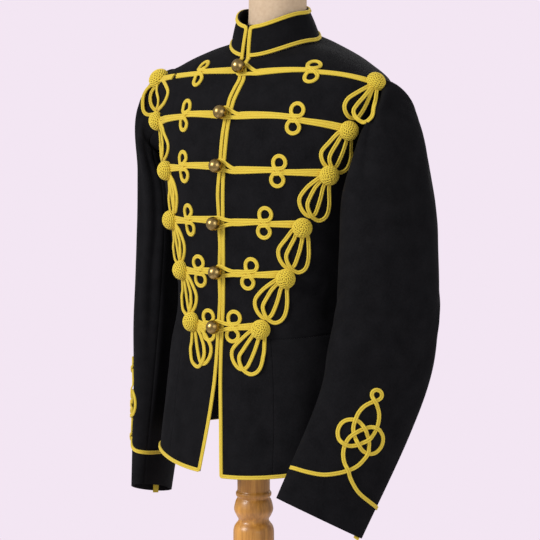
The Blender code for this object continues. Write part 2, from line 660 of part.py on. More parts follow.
# Radius and height of a button from its shank to its crown
BUTTON_PROFILE = [(SHANK_R, -10.2), (SHANK_R, -9.0), (6.2, -7.7), (9.2, -3.6),
                  (BUTTON_R, 0.6), (8.4, 5.3), (4.4, 8.9)]
BUTTON_SIDES = 10
for number, row in enumerate(ROWS, start=1):
    for k, (side, word) in enumerate(((1, "left"), (-1, "right"))):
        frog(number, row, side, word)
        lift = KNOT_LIFT + row.get("lift", 0.0)
        dome(f"knot_{word}_{number}", side * row["knot"][k], row["knot_z"][k], lift)
    turn, line = on_body(-BUTTON_RUN, row["front"])
    up = body_out(turn, line)
    turned(f"button_{number}", BUTTON_PROFILE, body(turn, line) + up * BUTTON_LIFT, up, "brass", BUTTON_SIDES)


def crossings(path):
    """Places where a flat path crosses itself: pairs of segment numbers."""
    found = []
    for i in range(len(path) - 1):
        for j in range(i + 2, len(path) - 1):
            a, b = path[i], path[i + 1] - path[i]
            c, d = path[j], path[j + 1] - path[j]
            area = b[0] * d[1] - b[1] * d[0]
            if abs(area) < 1e-9:
                continue
            s = ((c - a)[0] * d[1] - (c - a)[1] * d[0]) / area
            t = ((c - a)[0] * b[1] - (c - a)[1] * b[0]) / area
            if 0 <= s < 1 and 0 <= t < 1:
                found.append((i + s, j + t))
    return found


def cuff_cord_path(word, pieces):
    """The cord over a cuff in the flat: front braid, knot and its mirror image, back braid."""
    knot = CUFF_KNOT + [(-x, y) for x, y in CUFF_KNOT[-2::-1]]
    lean = CUFF_KNOT_LEAN[word]
    knot = [(x + lean * y, y - lean * x + CUFF_KNOT_FOOT) for x, y in knot]
    return smooth_path(CUFF_LINE[word] + knot + CUFF_BACK, pieces) + np.array([CUFF_TURN[word], 0])


def woven_lift(path):
    """Lift along a path that passes over and under itself by turns."""
    length = np.concatenate([[0], np.cumsum(np.linalg.norm(np.diff(path, axis=0), axis=1))])
    places = sorted(at for pair in crossings(path) for at in pair)
    lift = np.zeros(len(path))
    for order, at in enumerate(places):
        if order % 2 == 1:
            away = np.abs(length - np.interp(at, np.arange(len(path)), length))
            lift = np.maximum(lift, CROSS_LIFT * np.clip((CROSS_FAR - away) / (CROSS_FAR - CROSS_NEAR), 0, 1))
    return lift


SLEEVE_SCAN_PHI = np.linspace(-180, 180, 145)
SLEEVE_SCAN_ROW = np.linspace(4.6, CUFF, 97)


def sleeve_chart(arm):
    """Girth from the outermost line and length up from the cuff's end, over the forearm."""
    grid = sleeve(arm, SLEEVE_SCAN_PHI, SLEEVE_SCAN_ROW)
    round_it = np.linalg.norm(np.diff(grid, axis=1), axis=2)
    girth = np.concatenate([np.zeros((len(grid), 1)), np.cumsum(round_it, axis=1)], axis=1)
    girth = girth - girth[:, len(SLEEVE_SCAN_PHI) // 2][:, None]
    down_it = np.linalg.norm(np.diff(grid, axis=0), axis=2)
    length = np.concatenate([np.zeros((1, grid.shape[1])), np.cumsum(down_it, axis=0)])
    return girth, length[-1] - length


def on_sleeve(chart, out_by, up_by):
    """Angle and row of a place on the forearm."""
    girth, length = chart
    phi, row = 0.0, CUFF - 1
    for _ in range(8):
        line = np.array([np.interp(phi, SLEEVE_SCAN_PHI, level) for level in length])
        row = float(np.interp(-up_by, -line, SLEEVE_SCAN_ROW))
        across = np.array([np.interp(row, SLEEVE_SCAN_ROW, girth[:, j]) for j in range(girth.shape[1])])
        phi = float(np.interp(out_by, across, SLEEVE_SCAN_PHI))
    return phi, row


CUFF_TAPE_PHI = {"left": -62.0, "right": -50.0}
TAPE_WIDE, TAPE_LONG, TAPE_THICK = 8.6, 16.0, 1.0
TAPE_CLEAR, TAPE_SHOWS = 1.2, 4.0         # gap to the cloth, how far it hangs below the cuff
for arm, side, word in ((ARM_LEFT, 1, "left"), (ARM_RIGHT, -1, "right")):
    chart = sleeve_chart(arm)
    flat = cuff_cord_path(word, 104)
    lift = woven_lift(flat)
    path, ups = [], []
    for (out_by, up_by), over in zip(flat, lift):
        phi, row = on_sleeve(chart, out_by, up_by)
        point = sleeve(arm, [phi], [row])[0, 0]
        out = sleeve_out(arm, [phi], [row])[0, 0]
        path.append((point + out * (CORD_LIFT + CUFF_CORD_CLEAR[word] + over)) * (side, 1, 1))
        ups.append(out * (side, 1, 1))
    braid("cuff_cord_" + word, path, ups)
    # a short tape sewn inside the hindarm of the cuff, showing below its edge
    end = sleeve(arm, [CUFF_TAPE_PHI[word]], [CUFF - 0.2, CUFF])[:, 0]
    out = sleeve_out(arm, [CUFF_TAPE_PHI[word]], [CUFF])[0, 0]
    down = unit(end[1] - end[0])
    across = np.cross(down, out)
    middle = end[1] - out * (CLOTH / 2 + TAPE_CLEAR + TAPE_THICK / 2) - down * (TAPE_LONG / 2 - TAPE_SHOWS)
    corners = [middle + across * x * TAPE_WIDE / 2 + down * y * TAPE_LONG / 2 + out * z * TAPE_THICK / 2
               for z in (-1, 1) for x, y in ((-1, -1), (1, -1), (1, 1), (-1, 1))]
    box = [[0, 1, 2, 3], [7, 6, 5, 4], [0, 4, 5, 1], [1, 5, 6, 2], [2, 6, 7, 3], [3, 7, 4, 0]]
    corners = np.array(corners) * (side, 1, 1)
    node("cuff_tape_" + word, corners, outward(corners, box), "braid")

# The form inside the jacket: the body surface moved in, closed below, drawn up to a round neck
FORM_SIDES = 28
form_turns = np.linspace(0, 360, FORM_SIDES, endpoint=False)
form_rings = []
for row in np.concatenate([[FORM_FOOT], np.linspace(3, HOLE_LOW, 5), np.linspace(5.7, 6.8, 4), HIGH_ROWS]):
    gap = np.interp(row, *np.array(FORM_GAP).T)
    rows = np.full(FORM_SIDES, row)
    form_rings.append(body(form_turns, rows) - gap * body_out(form_turns, rows))
form_rings[0][:, 2] = FORM_FOOT_Z
for radius, height in NECK_COLUMN:
    angle = np.radians(form_turns)
    form_rings.append(np.column_stack([radius * np.sin(angle), NECK_Y - radius * np.cos(angle),
                                       np.full(FORM_SIDES, height)]))
form_points = np.concatenate(form_rings + [[[0, FORM_FOOT_Y, FORM_FOOT_Z], [0, NECK_Y, NECK_COLUMN[-1][1]]]])
form_faces = []
for level in range(len(form_rings) - 1):
    for k in range(FORM_SIDES):
        n = (k + 1) % FORM_SIDES
        low, up = level * FORM_SIDES, (level + 1) * FORM_SIDES
        form_faces.append([low + k, low + n, up + n, up + k])
top = (len(form_rings) - 1) * FORM_SIDES
for k in range(FORM_SIDES):
    n = (k + 1) % FORM_SIDES
    form_faces.append([len(form_points) - 2, n, k])
    form_faces.append([len(form_points) - 1, top + k, top + n])
node("form_torso", form_points, outward(form_points, form_faces), "linen")
turned("neck_cap", NECK_CAP, np.array([0, NECK_Y, 0]), (0, 0, 1), "wood")
turned("stand_post", POST, np.zeros(3), (0, 0, 1), "wood", 16)
turned("stand_base", BASE, np.zeros(3), (0, 0, 1), "wood", 28)
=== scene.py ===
# %% [markdown]
# # A hussar jacket on its dress form
#
# The frame that is loaded first holds every piece as a plain solid of the right size and place. This lesson
# dresses it: black wool cut as thin sheets with soft folds, flat two-ridged braid sewn along drawn lines,
# crocheted knots, ball buttons and a turned wooden stand. Sizes are millimetres until a mesh is made.

# %% Load the frame
import json
import math

import bpy
import numpy as np
from mathutils import Matrix, Vector
from mathutils.bvhtree import BVHTree

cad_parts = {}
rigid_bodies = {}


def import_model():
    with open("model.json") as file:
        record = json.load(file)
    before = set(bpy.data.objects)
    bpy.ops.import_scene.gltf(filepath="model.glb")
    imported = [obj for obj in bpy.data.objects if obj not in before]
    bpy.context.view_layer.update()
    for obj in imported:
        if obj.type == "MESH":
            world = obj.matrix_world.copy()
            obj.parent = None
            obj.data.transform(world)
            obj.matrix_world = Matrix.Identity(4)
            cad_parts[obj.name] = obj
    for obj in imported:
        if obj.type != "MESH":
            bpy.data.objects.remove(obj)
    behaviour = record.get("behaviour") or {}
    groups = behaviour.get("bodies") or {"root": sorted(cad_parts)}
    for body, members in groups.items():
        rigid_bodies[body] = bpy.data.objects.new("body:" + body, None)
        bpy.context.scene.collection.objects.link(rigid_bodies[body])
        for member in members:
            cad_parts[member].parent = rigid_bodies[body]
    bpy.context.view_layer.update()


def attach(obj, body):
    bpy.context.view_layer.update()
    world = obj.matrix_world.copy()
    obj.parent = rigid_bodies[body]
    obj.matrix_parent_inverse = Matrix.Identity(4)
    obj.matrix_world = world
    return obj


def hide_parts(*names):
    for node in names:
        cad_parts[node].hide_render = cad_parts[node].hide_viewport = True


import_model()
MM = 0.001

# %% [markdown]
# ## The camera
#
# The jacket is seen from its left front, a little from above, through a long lens that keeps the sleeves from
# growing toward the viewer. The camera comes first, because every later look is judged through it.

# %% Camera
VIEW_TURN, VIEW_RISE, VIEW_FAR = math.radians(40), math.radians(7.5), 4200
AIM_RIGHT, AIM_UP = 24.75, 1110           # aim point: to the right of the post and above the floor
SENSOR, FIELD = 36.0, 810.0               # sensor width; what the frame spans at the post

to_eye = Vector((math.sin(VIEW_TURN) * math.cos(VIEW_RISE), -math.cos(VIEW_TURN) * math.cos(VIEW_RISE),
                 math.sin(VIEW_RISE)))
aim = Vector((math.cos(VIEW_TURN), math.sin(VIEW_TURN), 0)) * AIM_RIGHT + Vector((0, 0, AIM_UP))
eye = aim + to_eye * VIEW_FAR
bpy.ops.object.camera_add(location=eye * MM, rotation=to_eye.to_track_quat("Z", "Y").to_euler())
camera = bpy.context.object
camera.data.sensor_width = SENSOR
camera.data.lens = SENSOR * VIEW_FAR / FIELD
bpy.context.scene.camera = camera
print("camera lens", round(camera.data.lens, 1), "mm at", [round(c * MM, 2) for c in eye])

# %% [markdown]
# ## The shape of the body
#
# A tailor cuts a jacket to rings measured round the body: hem, hip, waist, chest, shoulder, neck. The same
# rings are the table here, and a smooth curve runs through them. A place on the body is an angle round it and
# a row up it, so every sheet and every braid can be laid on one surface.

# %% Rings of the body
# Columns: height at the front, the side and the back, half width, centre y, depth to the front and to the
# back, squareness
BODY = np.array([
    (811, 837, 850, 191, 50, 147, 138, 2.1),      # hem
    (900, 915, 915, 181, 46, 132, 128, 2.1),      # hip
    (985, 990, 990, 168, 42, 121, 114, 2.1),      # below the waist
    (1060, 1060, 1060, 152, 40, 115, 106, 2.1),   # waist
    (1150, 1150, 1150, 166, 40, 115, 114, 2.15),  # ribs
    (1250, 1250, 1250, 182, 41, 117, 122, 2.2),   # chest
    (1325, 1328, 1332, 196, 44, 112, 120, 2.25),  # armpit
    (1373, 1388, 1391, 205, 48, 104, 102, 2.2),   # shoulder point
    (1402, 1415, 1430, 165, 52, 92, 92, 2.1),     # shoulder slope
    (1421, 1437, 1452, 112, 55, 80, 73, 2.0),     # foot of the neck
    (1427, 1449, 1463, 67, 56, 71, 57, 2.0),      # neck seam
], float)
HEM, CHEST, NECK = 0.0, 5.0, float(len(BODY) - 1)   # row numbers
# The hem hangs a little higher on the right: how much, at angles from the centre front
HIGHER_AT, HIGHER = (0, 57, 80, 104, 150, 180), (3.4, 3.0, 6.0, 8.0, 4.0, 0)
# The right shoulder drops a little: how much, at angles, and what share of it, at rows
DROPPED_AT, DROPPED = (30, 60, 90, 120, 150), (0, 2.2, 3.6, 2.2, 0)
DROPPED_ROW, DROPPED_SHARE = (6.3, 7.2, 8.0, 9.0, 10.0), (0, 1, 1, 0.7, 0)
TURN_STEP, ROW_STEP = 0.6, 0.04           # steps of angle and row by which a direction is measured


def between(a, b, c, d, part):
    """Smooth curve from b to c, where a comes before them and d after."""
    return 0.5 * (2 * b + (c - a) * part + (2 * a - 5 * b + 4 * c - d) * part ** 2
                  + (3 * b - a - 3 * c + d) * part ** 3)


def spline(table, at):
    """Smooth curve through the rows of a table; at counts the rows."""
    at = np.clip(np.asarray(at, float), 0, len(table) - 1)
    low = np.clip(at.astype(int), 0, len(table) - 2)
    part = (at - low)[..., None]

    def row(number):
        return table[np.clip(number, 0, len(table) - 1)]
    a, b, c, d = row(low - 1), row(low), row(low + 1), row(low + 2)
    a = np.where((low == 0)[..., None], 2 * b - c, a)
    d = np.where((low == len(table) - 2)[..., None], 2 * c - b, d)
    return between(a, b, c, d, part)


def unit(vectors):
    """Vectors scaled to length one."""
    return vectors / np.linalg.norm(vectors, axis=-1, keepdims=True)


def lengths(path):
    """Length along a path at each of its points."""
    return np.concatenate([[0], np.cumsum(np.linalg.norm(np.diff(path, axis=0), axis=1))])


def ring(sizes, turn):
    """Points of rings at an angle from the centre front, positive to the wearer's left."""
    front_z, side_z, back_z, wide, mid_y, front, back, square = np.moveaxis(sizes, -1, 0)
    s, c = np.sin(np.radians(turn)), np.cos(np.radians(turn))
    across = np.sign(s) * np.abs(s) ** (2 / square)
    along = np.sign(c) * np.abs(c) ** (2 / square)
    height = side_z + np.where(c > 0, front_z - side_z, back_z - side_z) * c ** 2
    return np.stack([wide * across, mid_y - np.where(c > 0, front, back) * along, height], -1)


def smooth_body(turn, row):
    """Point of the body before it is creased."""
    turn, row = np.broadcast_arrays(np.asarray(turn, float), np.asarray(row, float))
    points = ring(spline(BODY, row), turn)
    higher = np.interp(-turn, HIGHER_AT, HIGHER) * np.clip(1 - row, 0, 1)
    dropped = np.interp(-turn, DROPPED_AT, DROPPED) * np.interp(row, DROPPED_ROW, DROPPED_SHARE)
    points[..., 2] += np.where(turn < 0, higher - dropped, 0)
    return points


def outward_of(surface, turn, row, turn_step=TURN_STEP, row_step=ROW_STEP, low=HEM, high=NECK):
    """Outward direction of any surface of an angle and a row, whose rows run from low to high."""
    turn, row = np.broadcast_arrays(np.asarray(turn, float), np.asarray(row, float))
    round_it = surface(turn + turn_step, row) - surface(turn - turn_step, row)
    up_it = surface(turn, np.minimum(row + row_step, high)) - surface(turn, np.maximum(row - row_step, low))
    return unit(np.cross(round_it, up_it))


print("chest girth", round(lengths(smooth_body(np.arange(361), CHEST))[-1]), "mm")

# %% [markdown]
# ## Folds placed one by one
#
# Heavy wool does not crumple: it lies in a few long, soft troughs and ridges. Each one is a row in a table,
# from where to where, how wide and how deep, uneven as the real ones are. They are added to the surface
# itself, so the braid that is sewn on later follows them.

# %% Folds of the body
# Columns: angle and height where it starts, angle and height where it ends, half width, depth (+ ridge)
BODY_FOLDS = [
    (71, 1352, 79, 1276, 10, -3.4), (60, 1362, 67, 1285, 11, 1.9), (41, 1338, 51, 1296, 9, -2.2),
    (50, 1378, 59, 1357, 10, 1.3), (84, 1290, 80, 1215, 12, -2.2), (33, 1318, 42, 1282, 11, 1.2),
    (-70, 1348, -78, 1284, 10, -2.8), (-45, 1332, -54, 1300, 9, -1.5), (-83, 1282, -78, 1206, 12, -2.0),
    (50, 1083, 66, 1097, 8, -1.6), (69, 1058, 88, 1074, 8, -2.0), (82, 1104, 62, 1122, 9, -1.3),
    (-50, 1078, -67, 1093, 8, -1.5), (-71, 1050, -89, 1065, 8, -1.9), (-80, 1110, -63, 1118, 9, -1.2),
    (28, 972, 27, 840, 15, -2.6), (43, 965, 46, 838, 18, 2.8), (58, 955, 57, 842, 16, -2.6),
    (76, 962, 80, 840, 17, 3.0), (-20, 978, -23, 842, 14, -1.8), (-38, 962, -42, 840, 18, 2.4),
    (-60, 955, -58, 845, 16, -2.8), (-79, 958, -84, 842, 17, 2.8), (98, 955, 95, 842, 15, -2.8),
    (118, 965, 121, 842, 18, 3.2), (139, 958, 137, 846, 16, -3.0), (160, 968, 163, 845, 18, 2.6),
    (-99, 958, -96, 844, 15, -2.6), (-120, 962, -124, 842, 19, 3.0), (-143, 950, -140, 846, 16, -3.2),
    (-164, 964, -166, 850, 17, 2.2), (126, 1336, 139, 1262, 12, -2.6), (112, 1300, 121, 1222, 13, 1.8),
    (-127, 1330, -141, 1268, 12, -2.3), (-110, 1296, -118, 1230, 13, 1.7), (166, 1150, 150, 1084, 11, -2.0),
    (-163, 1142, -149, 1078, 11, -1.8), (140, 1070, 168, 1064, 8, -1.8), (-138, 1076, -164, 1062, 8, -1.7),
    (101, 1082, 122, 1098, 8, -1.7), (-104, 1078, -124, 1092, 8, -1.6), (174, 1290, 178, 1190, 14, 1.4),
    (-92, 1432, -76, 1402, 26, -4.5), (-66, 915, -65, 780, 24, -9.0),
]
BODY_DEGREE = 3.0                         # millimetres for one degree round the body
END_SOFT = 0.38                           # share of a fold over which it dies away
WANDER, WAVES = 0.3, 2.3                  # how far it strays sideways in half widths, and how often
FOLD_STEP = 0.03                          # step of the row by which a folded direction is measured


def ease(part):
    """Soft step from 0 to 1."""
    part = np.clip(part, 0, 1)
    return part * part * (3 - 2 * part)


def folded(turn, up, folds, degree):
    """Height of all the folds together at places given by angle and by millimetres up."""
    total = np.zeros(np.broadcast(turn, up).shape)
    for turn_a, up_a, turn_b, up_b, half, depth in folds:
        across = ((turn - turn_a + 180) % 360 - 180) * degree
        run, rise = (turn_b - turn_a) * degree, up_b - up_a
        length = math.hypot(run, rise)
        along = (across * run + (up - up_a) * rise) / length
        beside = (across * rise - (up - up_a) * run) / length
        beside = beside + WANDER * half * np.sin(math.pi * WAVES * along / length + turn_a)
        fade = ease((np.minimum(along, length - along) / length + END_SOFT / 2) / END_SOFT)
        total = total + depth * np.exp(-(beside / half) ** 2) * fade
    return total


def body(turn, row):
    """Point of the jacket's body with its folds."""
    flat = smooth_body(turn, row)
    out = outward_of(smooth_body, turn, row)
    return flat + out * folded(turn, flat[..., 2], BODY_FOLDS, BODY_DEGREE)[..., None]


def body_out(turn, row):
    """Outward direction of the folded body."""
    return outward_of(body, turn, row, row_step=FOLD_STEP)


print("body folds:", len(BODY_FOLDS))

# %% [markdown]
# ## Where things are on the body
#
# A braid maker measures along the cloth: so far from the front edge, at such a height. This chart turns those
# two measures into an angle and a row, for thousands of places at once, by stepping toward the answer.

# %% Chart of the body
CHART_TURN, CHART_ROW = np.linspace(0, 126, 253), np.linspace(HEM, NECK, 241)
FIRST_TURN, LAST_TURN = 120, 124          # limits of the first guess and of the search
ROUNDS, PACE = 14, 0.8                    # steps toward the answer, and what share of the way each goes
HALF_TURN, HALF_ROW = 0.5, 0.02           # half of the span over which a slope is measured
LEAST_RUN, LEAST_RISE = 0.5, 8.0          # no slope counts as flatter, in millimetres for a degree and a row
chart_grid = smooth_body(CHART_TURN[None], CHART_ROW[:, None])
chart_run = np.cumsum(np.linalg.norm(np.diff(chart_grid, axis=1), axis=2), axis=1)
chart_run = np.concatenate([np.zeros((len(CHART_ROW), 1)), chart_run], axis=1)


def run_at(turn, row):
    """Millimetres along the cloth from the centre front to an angle, read from the chart."""
    i = np.clip(row / NECK * (len(CHART_ROW) - 1), 0, len(CHART_ROW) - 1.001)
    j = np.clip(turn / CHART_TURN[-1] * (len(CHART_TURN) - 1), 0, len(CHART_TURN) - 1.001)
    low_i, low_j = i.astype(int), j.astype(int)
    part_i, part_j = i - low_i, j - low_j
    low = chart_run[low_i, low_j] * (1 - part_j) + chart_run[low_i, low_j + 1] * part_j
    high = chart_run[low_i + 1, low_j] * (1 - part_j) + chart_run[low_i + 1, low_j + 1] * part_j
    return low * (1 - part_i) + high * part_i


def on_body(run, height):
    """Angles and rows of places given by run from the centre front (+ left) and height."""
    run, height = np.broadcast_arrays(np.asarray(run, float), np.asarray(height, float))
    side, run = np.where(run < 0, -1.0, 1.0), np.abs(run)
    turn = np.clip(run / BODY_DEGREE, 0, FIRST_TURN)
    row = np.interp(height, BODY[:, 0], np.arange(len(BODY)))
    for _ in range(ROUNDS):
        slope = np.maximum(run_at(turn + HALF_TURN, row) - run_at(turn - HALF_TURN, row), LEAST_RUN)
        turn = np.clip(turn + PACE * (run - run_at(turn, row)) / slope, 0, LAST_TURN)
        rise = (smooth_body(turn, row + HALF_ROW) - smooth_body(turn, row - HALF_ROW))[..., 2] / (2 * HALF_ROW)
        miss = height - smooth_body(turn, row)[..., 2]
        row = np.clip(row + PACE * miss / np.maximum(rise, LEAST_RISE), HEM, NECK)
    return turn * side, row


turn_try, row_try = on_body(np.array([177.0, -150.0]), np.array([1264.0, 1178.0]))
print("chart test:", run_at(np.abs(turn_try), row_try).round(1),
      smooth_body(turn_try, row_try)[..., 2].round(1))

# %% [markdown]
# ## Sheets of wool
#
# Broadcloth is a thick felted wool, here 2 mm with its lining. Each cut piece is a grid of points on the
# surface, turned into a thin shell with the Solidify modifier. A sewn edge rolls in a little, which is what
# makes a seam show on black cloth.

# %% Making a sheet
CLOTH = 2.0
SEAM_ROLL, FLAT_SEAM = 0.9, 0.08          # how far a sewn edge rolls in; the share where it is pressed flat
ROUNDING, SHARP, SMOOTH = 0.5, 60, 40     # rounding of an edge; degrees of a sharp edge and of a smooth one


def only(piece):
    """Selects one object and makes it active."""
    bpy.ops.object.select_all(action="DESELECT")
    piece.select_set(True)
    bpy.context.view_layer.objects.active = piece


def shaded(piece, angle):
    """Shades a piece smooth, apart from the edges sharper than an angle in degrees."""
    only(piece)
    bpy.ops.object.shade_smooth_by_angle(angle=math.radians(angle))
    return piece


def mesh_piece(name, points, faces, uvs=None):
    """New mesh object from points in millimetres; uvs has a place for each corner of each face."""
    mesh = bpy.data.meshes.new(name)
    mesh.from_pydata((np.asarray(points, float) * MM).tolist(), [], faces)
    if uvs is not None:
        layer = mesh.uv_layers.new(name="braid")
        layer.data.foreach_set("uv", np.asarray(uvs, np.float32).ravel())
    mesh.update()
    piece = bpy.data.objects.new(name, mesh)
    bpy.context.scene.collection.objects.link(piece)
    return piece


def apply_modifier(piece, kind, **settings):
    """Adds a modifier and applies it."""
    made = piece.modifiers.new(kind.lower(), kind)
    for key, value in settings.items():
        setattr(made, key, value)
    only(piece)
    bpy.ops.object.modifier_apply(modifier=made.name)


def sheet(name, grid, out, cells=None, thick=CLOTH):
    """A thin shell of cloth from a grid of points and the outward direction at each."""
    lines, columns = grid.shape[:2]
    number = np.arange(lines * columns).reshape(lines, columns)
    quads = np.stack([number[:-1, :-1], number[:-1, 1:], number[1:, 1:], number[1:, :-1]], -1)
    quads = quads[cells] if cells is not None else quads.reshape(-1, 4)
    flat, ways = grid.reshape(-1, 3), out.reshape(-1, 3)
    a, b, c, d = (flat[quads[:, k]] for k in range(4))
    if np.einsum("ij,ij->", np.cross(c - a, d - b), ways[quads[:, 0]]) < 0:
        quads = quads[:, ::-1]
    used, quads = np.unique(quads, return_inverse=True)
    piece = mesh_piece(name, flat[used], quads.reshape(-1, 4).tolist())
    apply_modifier(piece, "SOLIDIFY", thickness=thick * MM, offset=0.0)
    apply_modifier(piece, "BEVEL", width=ROUNDING * MM, segments=2, limit_method="ANGLE",
                   angle_limit=math.radians(SHARP))
    return shaded(piece, SMOOTH)


# %% [markdown]
# ## Fronts, back and skirts
#
# The fronts are long at the centre and cut off at a waist seam toward the side, where the skirts are sewn on.
# The fronts meet edge to edge down to the last button and part below it. The back is one piece, and the
# armhole is an oval set further down at the front than at the back.

# %% Seams and the front opening
HOLE_LOW, HOLE_TOP, HOLE_FRONT, HOLE_BACK = 5.3, 7.3, 22.0, 32.0
FRONT_FALL, BACK_FALL = 1.2, 0.4          # how far down the hole its widest part lies
SIDE_SEAM, SKIRT_SEAM, WAIST_SEAM = 90.0, 31.0, 2.47
SEAM_TURN, SEAM_ROW = 0.06, 0.003
OPENS_AT, EDGE_CLEAR, NECK_CLEAR = 1010.0, 0.3, 2.9   # half of the gap where it is closed and at the neck
NECK_FROM, NECK_OVER = 1402, 18           # from what height the gap widens to the neck, and over how much
OPEN_HALF, OPEN_POWER = {1: 17.0, -1: 24.0}, {1: 1.5, -1: 1.2}   # at the hem, left and right; how soon
# Heights, and the run of the closing line there: the loops pull it to the left
CLOSING = np.array([(1010, 1070, 1150, 1230, 1320, 1345, 1368, 1382, 1396, 1406, 1418, 1428),
                    (1.0, 2.5, 3.0, 3.5, 5.0, 6.5, 9.0, 13.0, 15.5, 12.0, 3.0, -1.0)])


def hole(phi):
    """Angle and row of the armhole's edge: phi 0 at the shoulder, 90 at the front, 180 under the arm."""
    phi = np.radians(np.asarray(phi, float))
    low = (1 - np.cos(phi)) / 2
    row = (HOLE_TOP + HOLE_LOW) / 2 + (HOLE_TOP - HOLE_LOW) / 2 * np.cos(phi)
    reach = np.where(np.sin(phi) > 0, HOLE_FRONT * low ** FRONT_FALL, HOLE_BACK * low ** BACK_FALL)
    return SIDE_SEAM - reach * np.sin(phi), row


def edge_turn(row, front):
    """Angle of the side seam, the armhole or the shoulder seam at a row."""
    if not HOLE_LOW < row < HOLE_TOP:
        return SIDE_SEAM
    mid, half = (HOLE_TOP + HOLE_LOW) / 2, (HOLE_TOP - HOLE_LOW) / 2
    phi = math.degrees(math.acos(np.clip((row - mid) / half, -1, 1)))
    return float(hole(phi if front else -phi)[0])


def front_edge(side, height):
    """Run of a front edge at a height: the closing line, and below it the edges part."""
    part = np.clip((OPENS_AT - height) / (OPENS_AT - BODY[0, 0]), 0, 1)
    clear = EDGE_CLEAR + (NECK_CLEAR - EDGE_CLEAR) * ease((height - NECK_FROM) / NECK_OVER)
    return np.interp(height, *CLOSING) + side * (clear + OPEN_HALF[side] * part ** OPEN_POWER[side])


LOW_ROWS = np.linspace(HEM, WAIST_SEAM, 46)
SIDE_ROWS = np.linspace(WAIST_SEAM, HOLE_LOW, 62)
HIGH_ROWS = np.linspace(HOLE_TOP, NECK, 40)
UP_ROWS = np.concatenate([SIDE_ROWS, hole(np.linspace(180, 0, 41))[1][1:], HIGH_ROWS[1:]])
print("rows of the body:", len(LOW_ROWS) + len(UP_ROWS))


# %% Cut the body pieces
WAIST_RISE, WAIST_NEAR, WAIST_OVER = 0.085, 0.9, 45.0   # the waist seam rises to the side: rows, and over what


def rolled(turns, rows, mask):
    """Points and directions of a grid on the body, with the masked edge points rolled in."""
    round_it = np.abs((turns + 180) % 360 - 180)
    near = np.exp(-((rows - WAIST_SEAM) / WAIST_NEAR) ** 2)
    rows = rows + WAIST_RISE * ease((round_it - SKIRT_SEAM) / WAIST_OVER) * near
    grid, out = body(turns, rows), body_out(turns, rows)
    return grid - out * (SEAM_ROLL * mask)[..., None], out


def front_cloth(name, side):
    """One front from its edge to the side seam."""
    inner_count, outer_count = 26, 44
    rows = np.concatenate([LOW_ROWS[:-1], [WAIST_SEAM, WAIST_SEAM + SEAM_ROW], UP_ROWS[1:]])
    lines = []
    for row in rows:
        height = float(smooth_body(0, row)[2])
        start = side * float(on_body(front_edge(side, height), height)[0])
        gap = 0.0 if HOLE_LOW < row < HOLE_TOP else SEAM_TURN
        inner = np.linspace(start, SKIRT_SEAM - SEAM_TURN, inner_count)
        outer = np.linspace(SKIRT_SEAM, edge_turn(row, True) - gap, outer_count + 1)[1:]
        lines.append(np.concatenate([inner, outer]) * side)
    turns = np.array(lines)
    rows = np.repeat(rows[:, None], turns.shape[1], axis=1)
    cells = np.ones((turns.shape[0] - 1, turns.shape[1] - 1), bool)
    cells[:len(LOW_ROWS), inner_count - 1:] = False
    mask = np.zeros(turns.shape)
    mask[:, -1] = np.where(rows[:, -1] > HOLE_TOP, FLAT_SEAM, 1)
    mask[:len(LOW_ROWS), inner_count - 1] = FLAT_SEAM
    mask[len(LOW_ROWS), inner_count - 1:] = 1
    grid, out = rolled(turns, rows, mask)
    return sheet(name, grid, out, cells)


def back_cloth(name):
    """The back above the waist."""
    rows = UP_ROWS.copy()
    rows[0] += SEAM_ROW
    gaps = np.where((rows > HOLE_LOW) & (rows < HOLE_TOP), 0, SEAM_TURN)
    half = np.array([np.linspace(edge_turn(row, False) + gap, 180, 62) for row, gap in zip(rows, gaps)])
    turns = np.concatenate([half, 360 - half[:, -2::-1]], axis=1)
    rows = np.repeat(rows[:, None], turns.shape[1], axis=1)
    mask = np.zeros(turns.shape)
    mask[:, [0, -1]] = np.where(rows[:, :1] > HOLE_TOP, FLAT_SEAM, 1)
    mask[0] = 1
    grid, out = rolled(turns, rows, mask)
    return sheet(name, grid, out)


def skirt_cloth(name, side):
    """One skirt from the long front to the centre back."""
    rows = LOW_ROWS.copy()
    rows[-1] -= SEAM_ROW
    line = np.linspace(SKIRT_SEAM + SEAM_TURN, 180 - SEAM_TURN, 104)
    turns, rows = np.meshgrid(line * side, rows)
    mask = np.zeros(turns.shape)
    mask[:, 0], mask[:, -1] = FLAT_SEAM, 1
    mask[-1] = 1
    grid, out = rolled(turns, rows, mask)
    return sheet(name, grid, out)


WORDS = ((1, "left"), (-1, "right"))
cloth = {"back": back_cloth("back_cloth")}
for side, word in WORDS:
    cloth["front_" + word] = front_cloth(f"{word}_front_cloth", side)
    cloth["skirt_" + word] = skirt_cloth(f"{word}_skirt_cloth", side)
print("body pieces:", {name: len(piece.data.polygons) for name, piece in cloth.items()})

# %% [markdown]
# ## Sleeves
#
# A uniform sleeve is cut in two: a wide top half and a narrow under half, with the seams before and behind the
# arm. Rings down the arm give its shape, and the first ring is the armhole itself. The left arm is bent
# forward, the right hangs. The folds fall from the shoulder and break a little at the elbow.

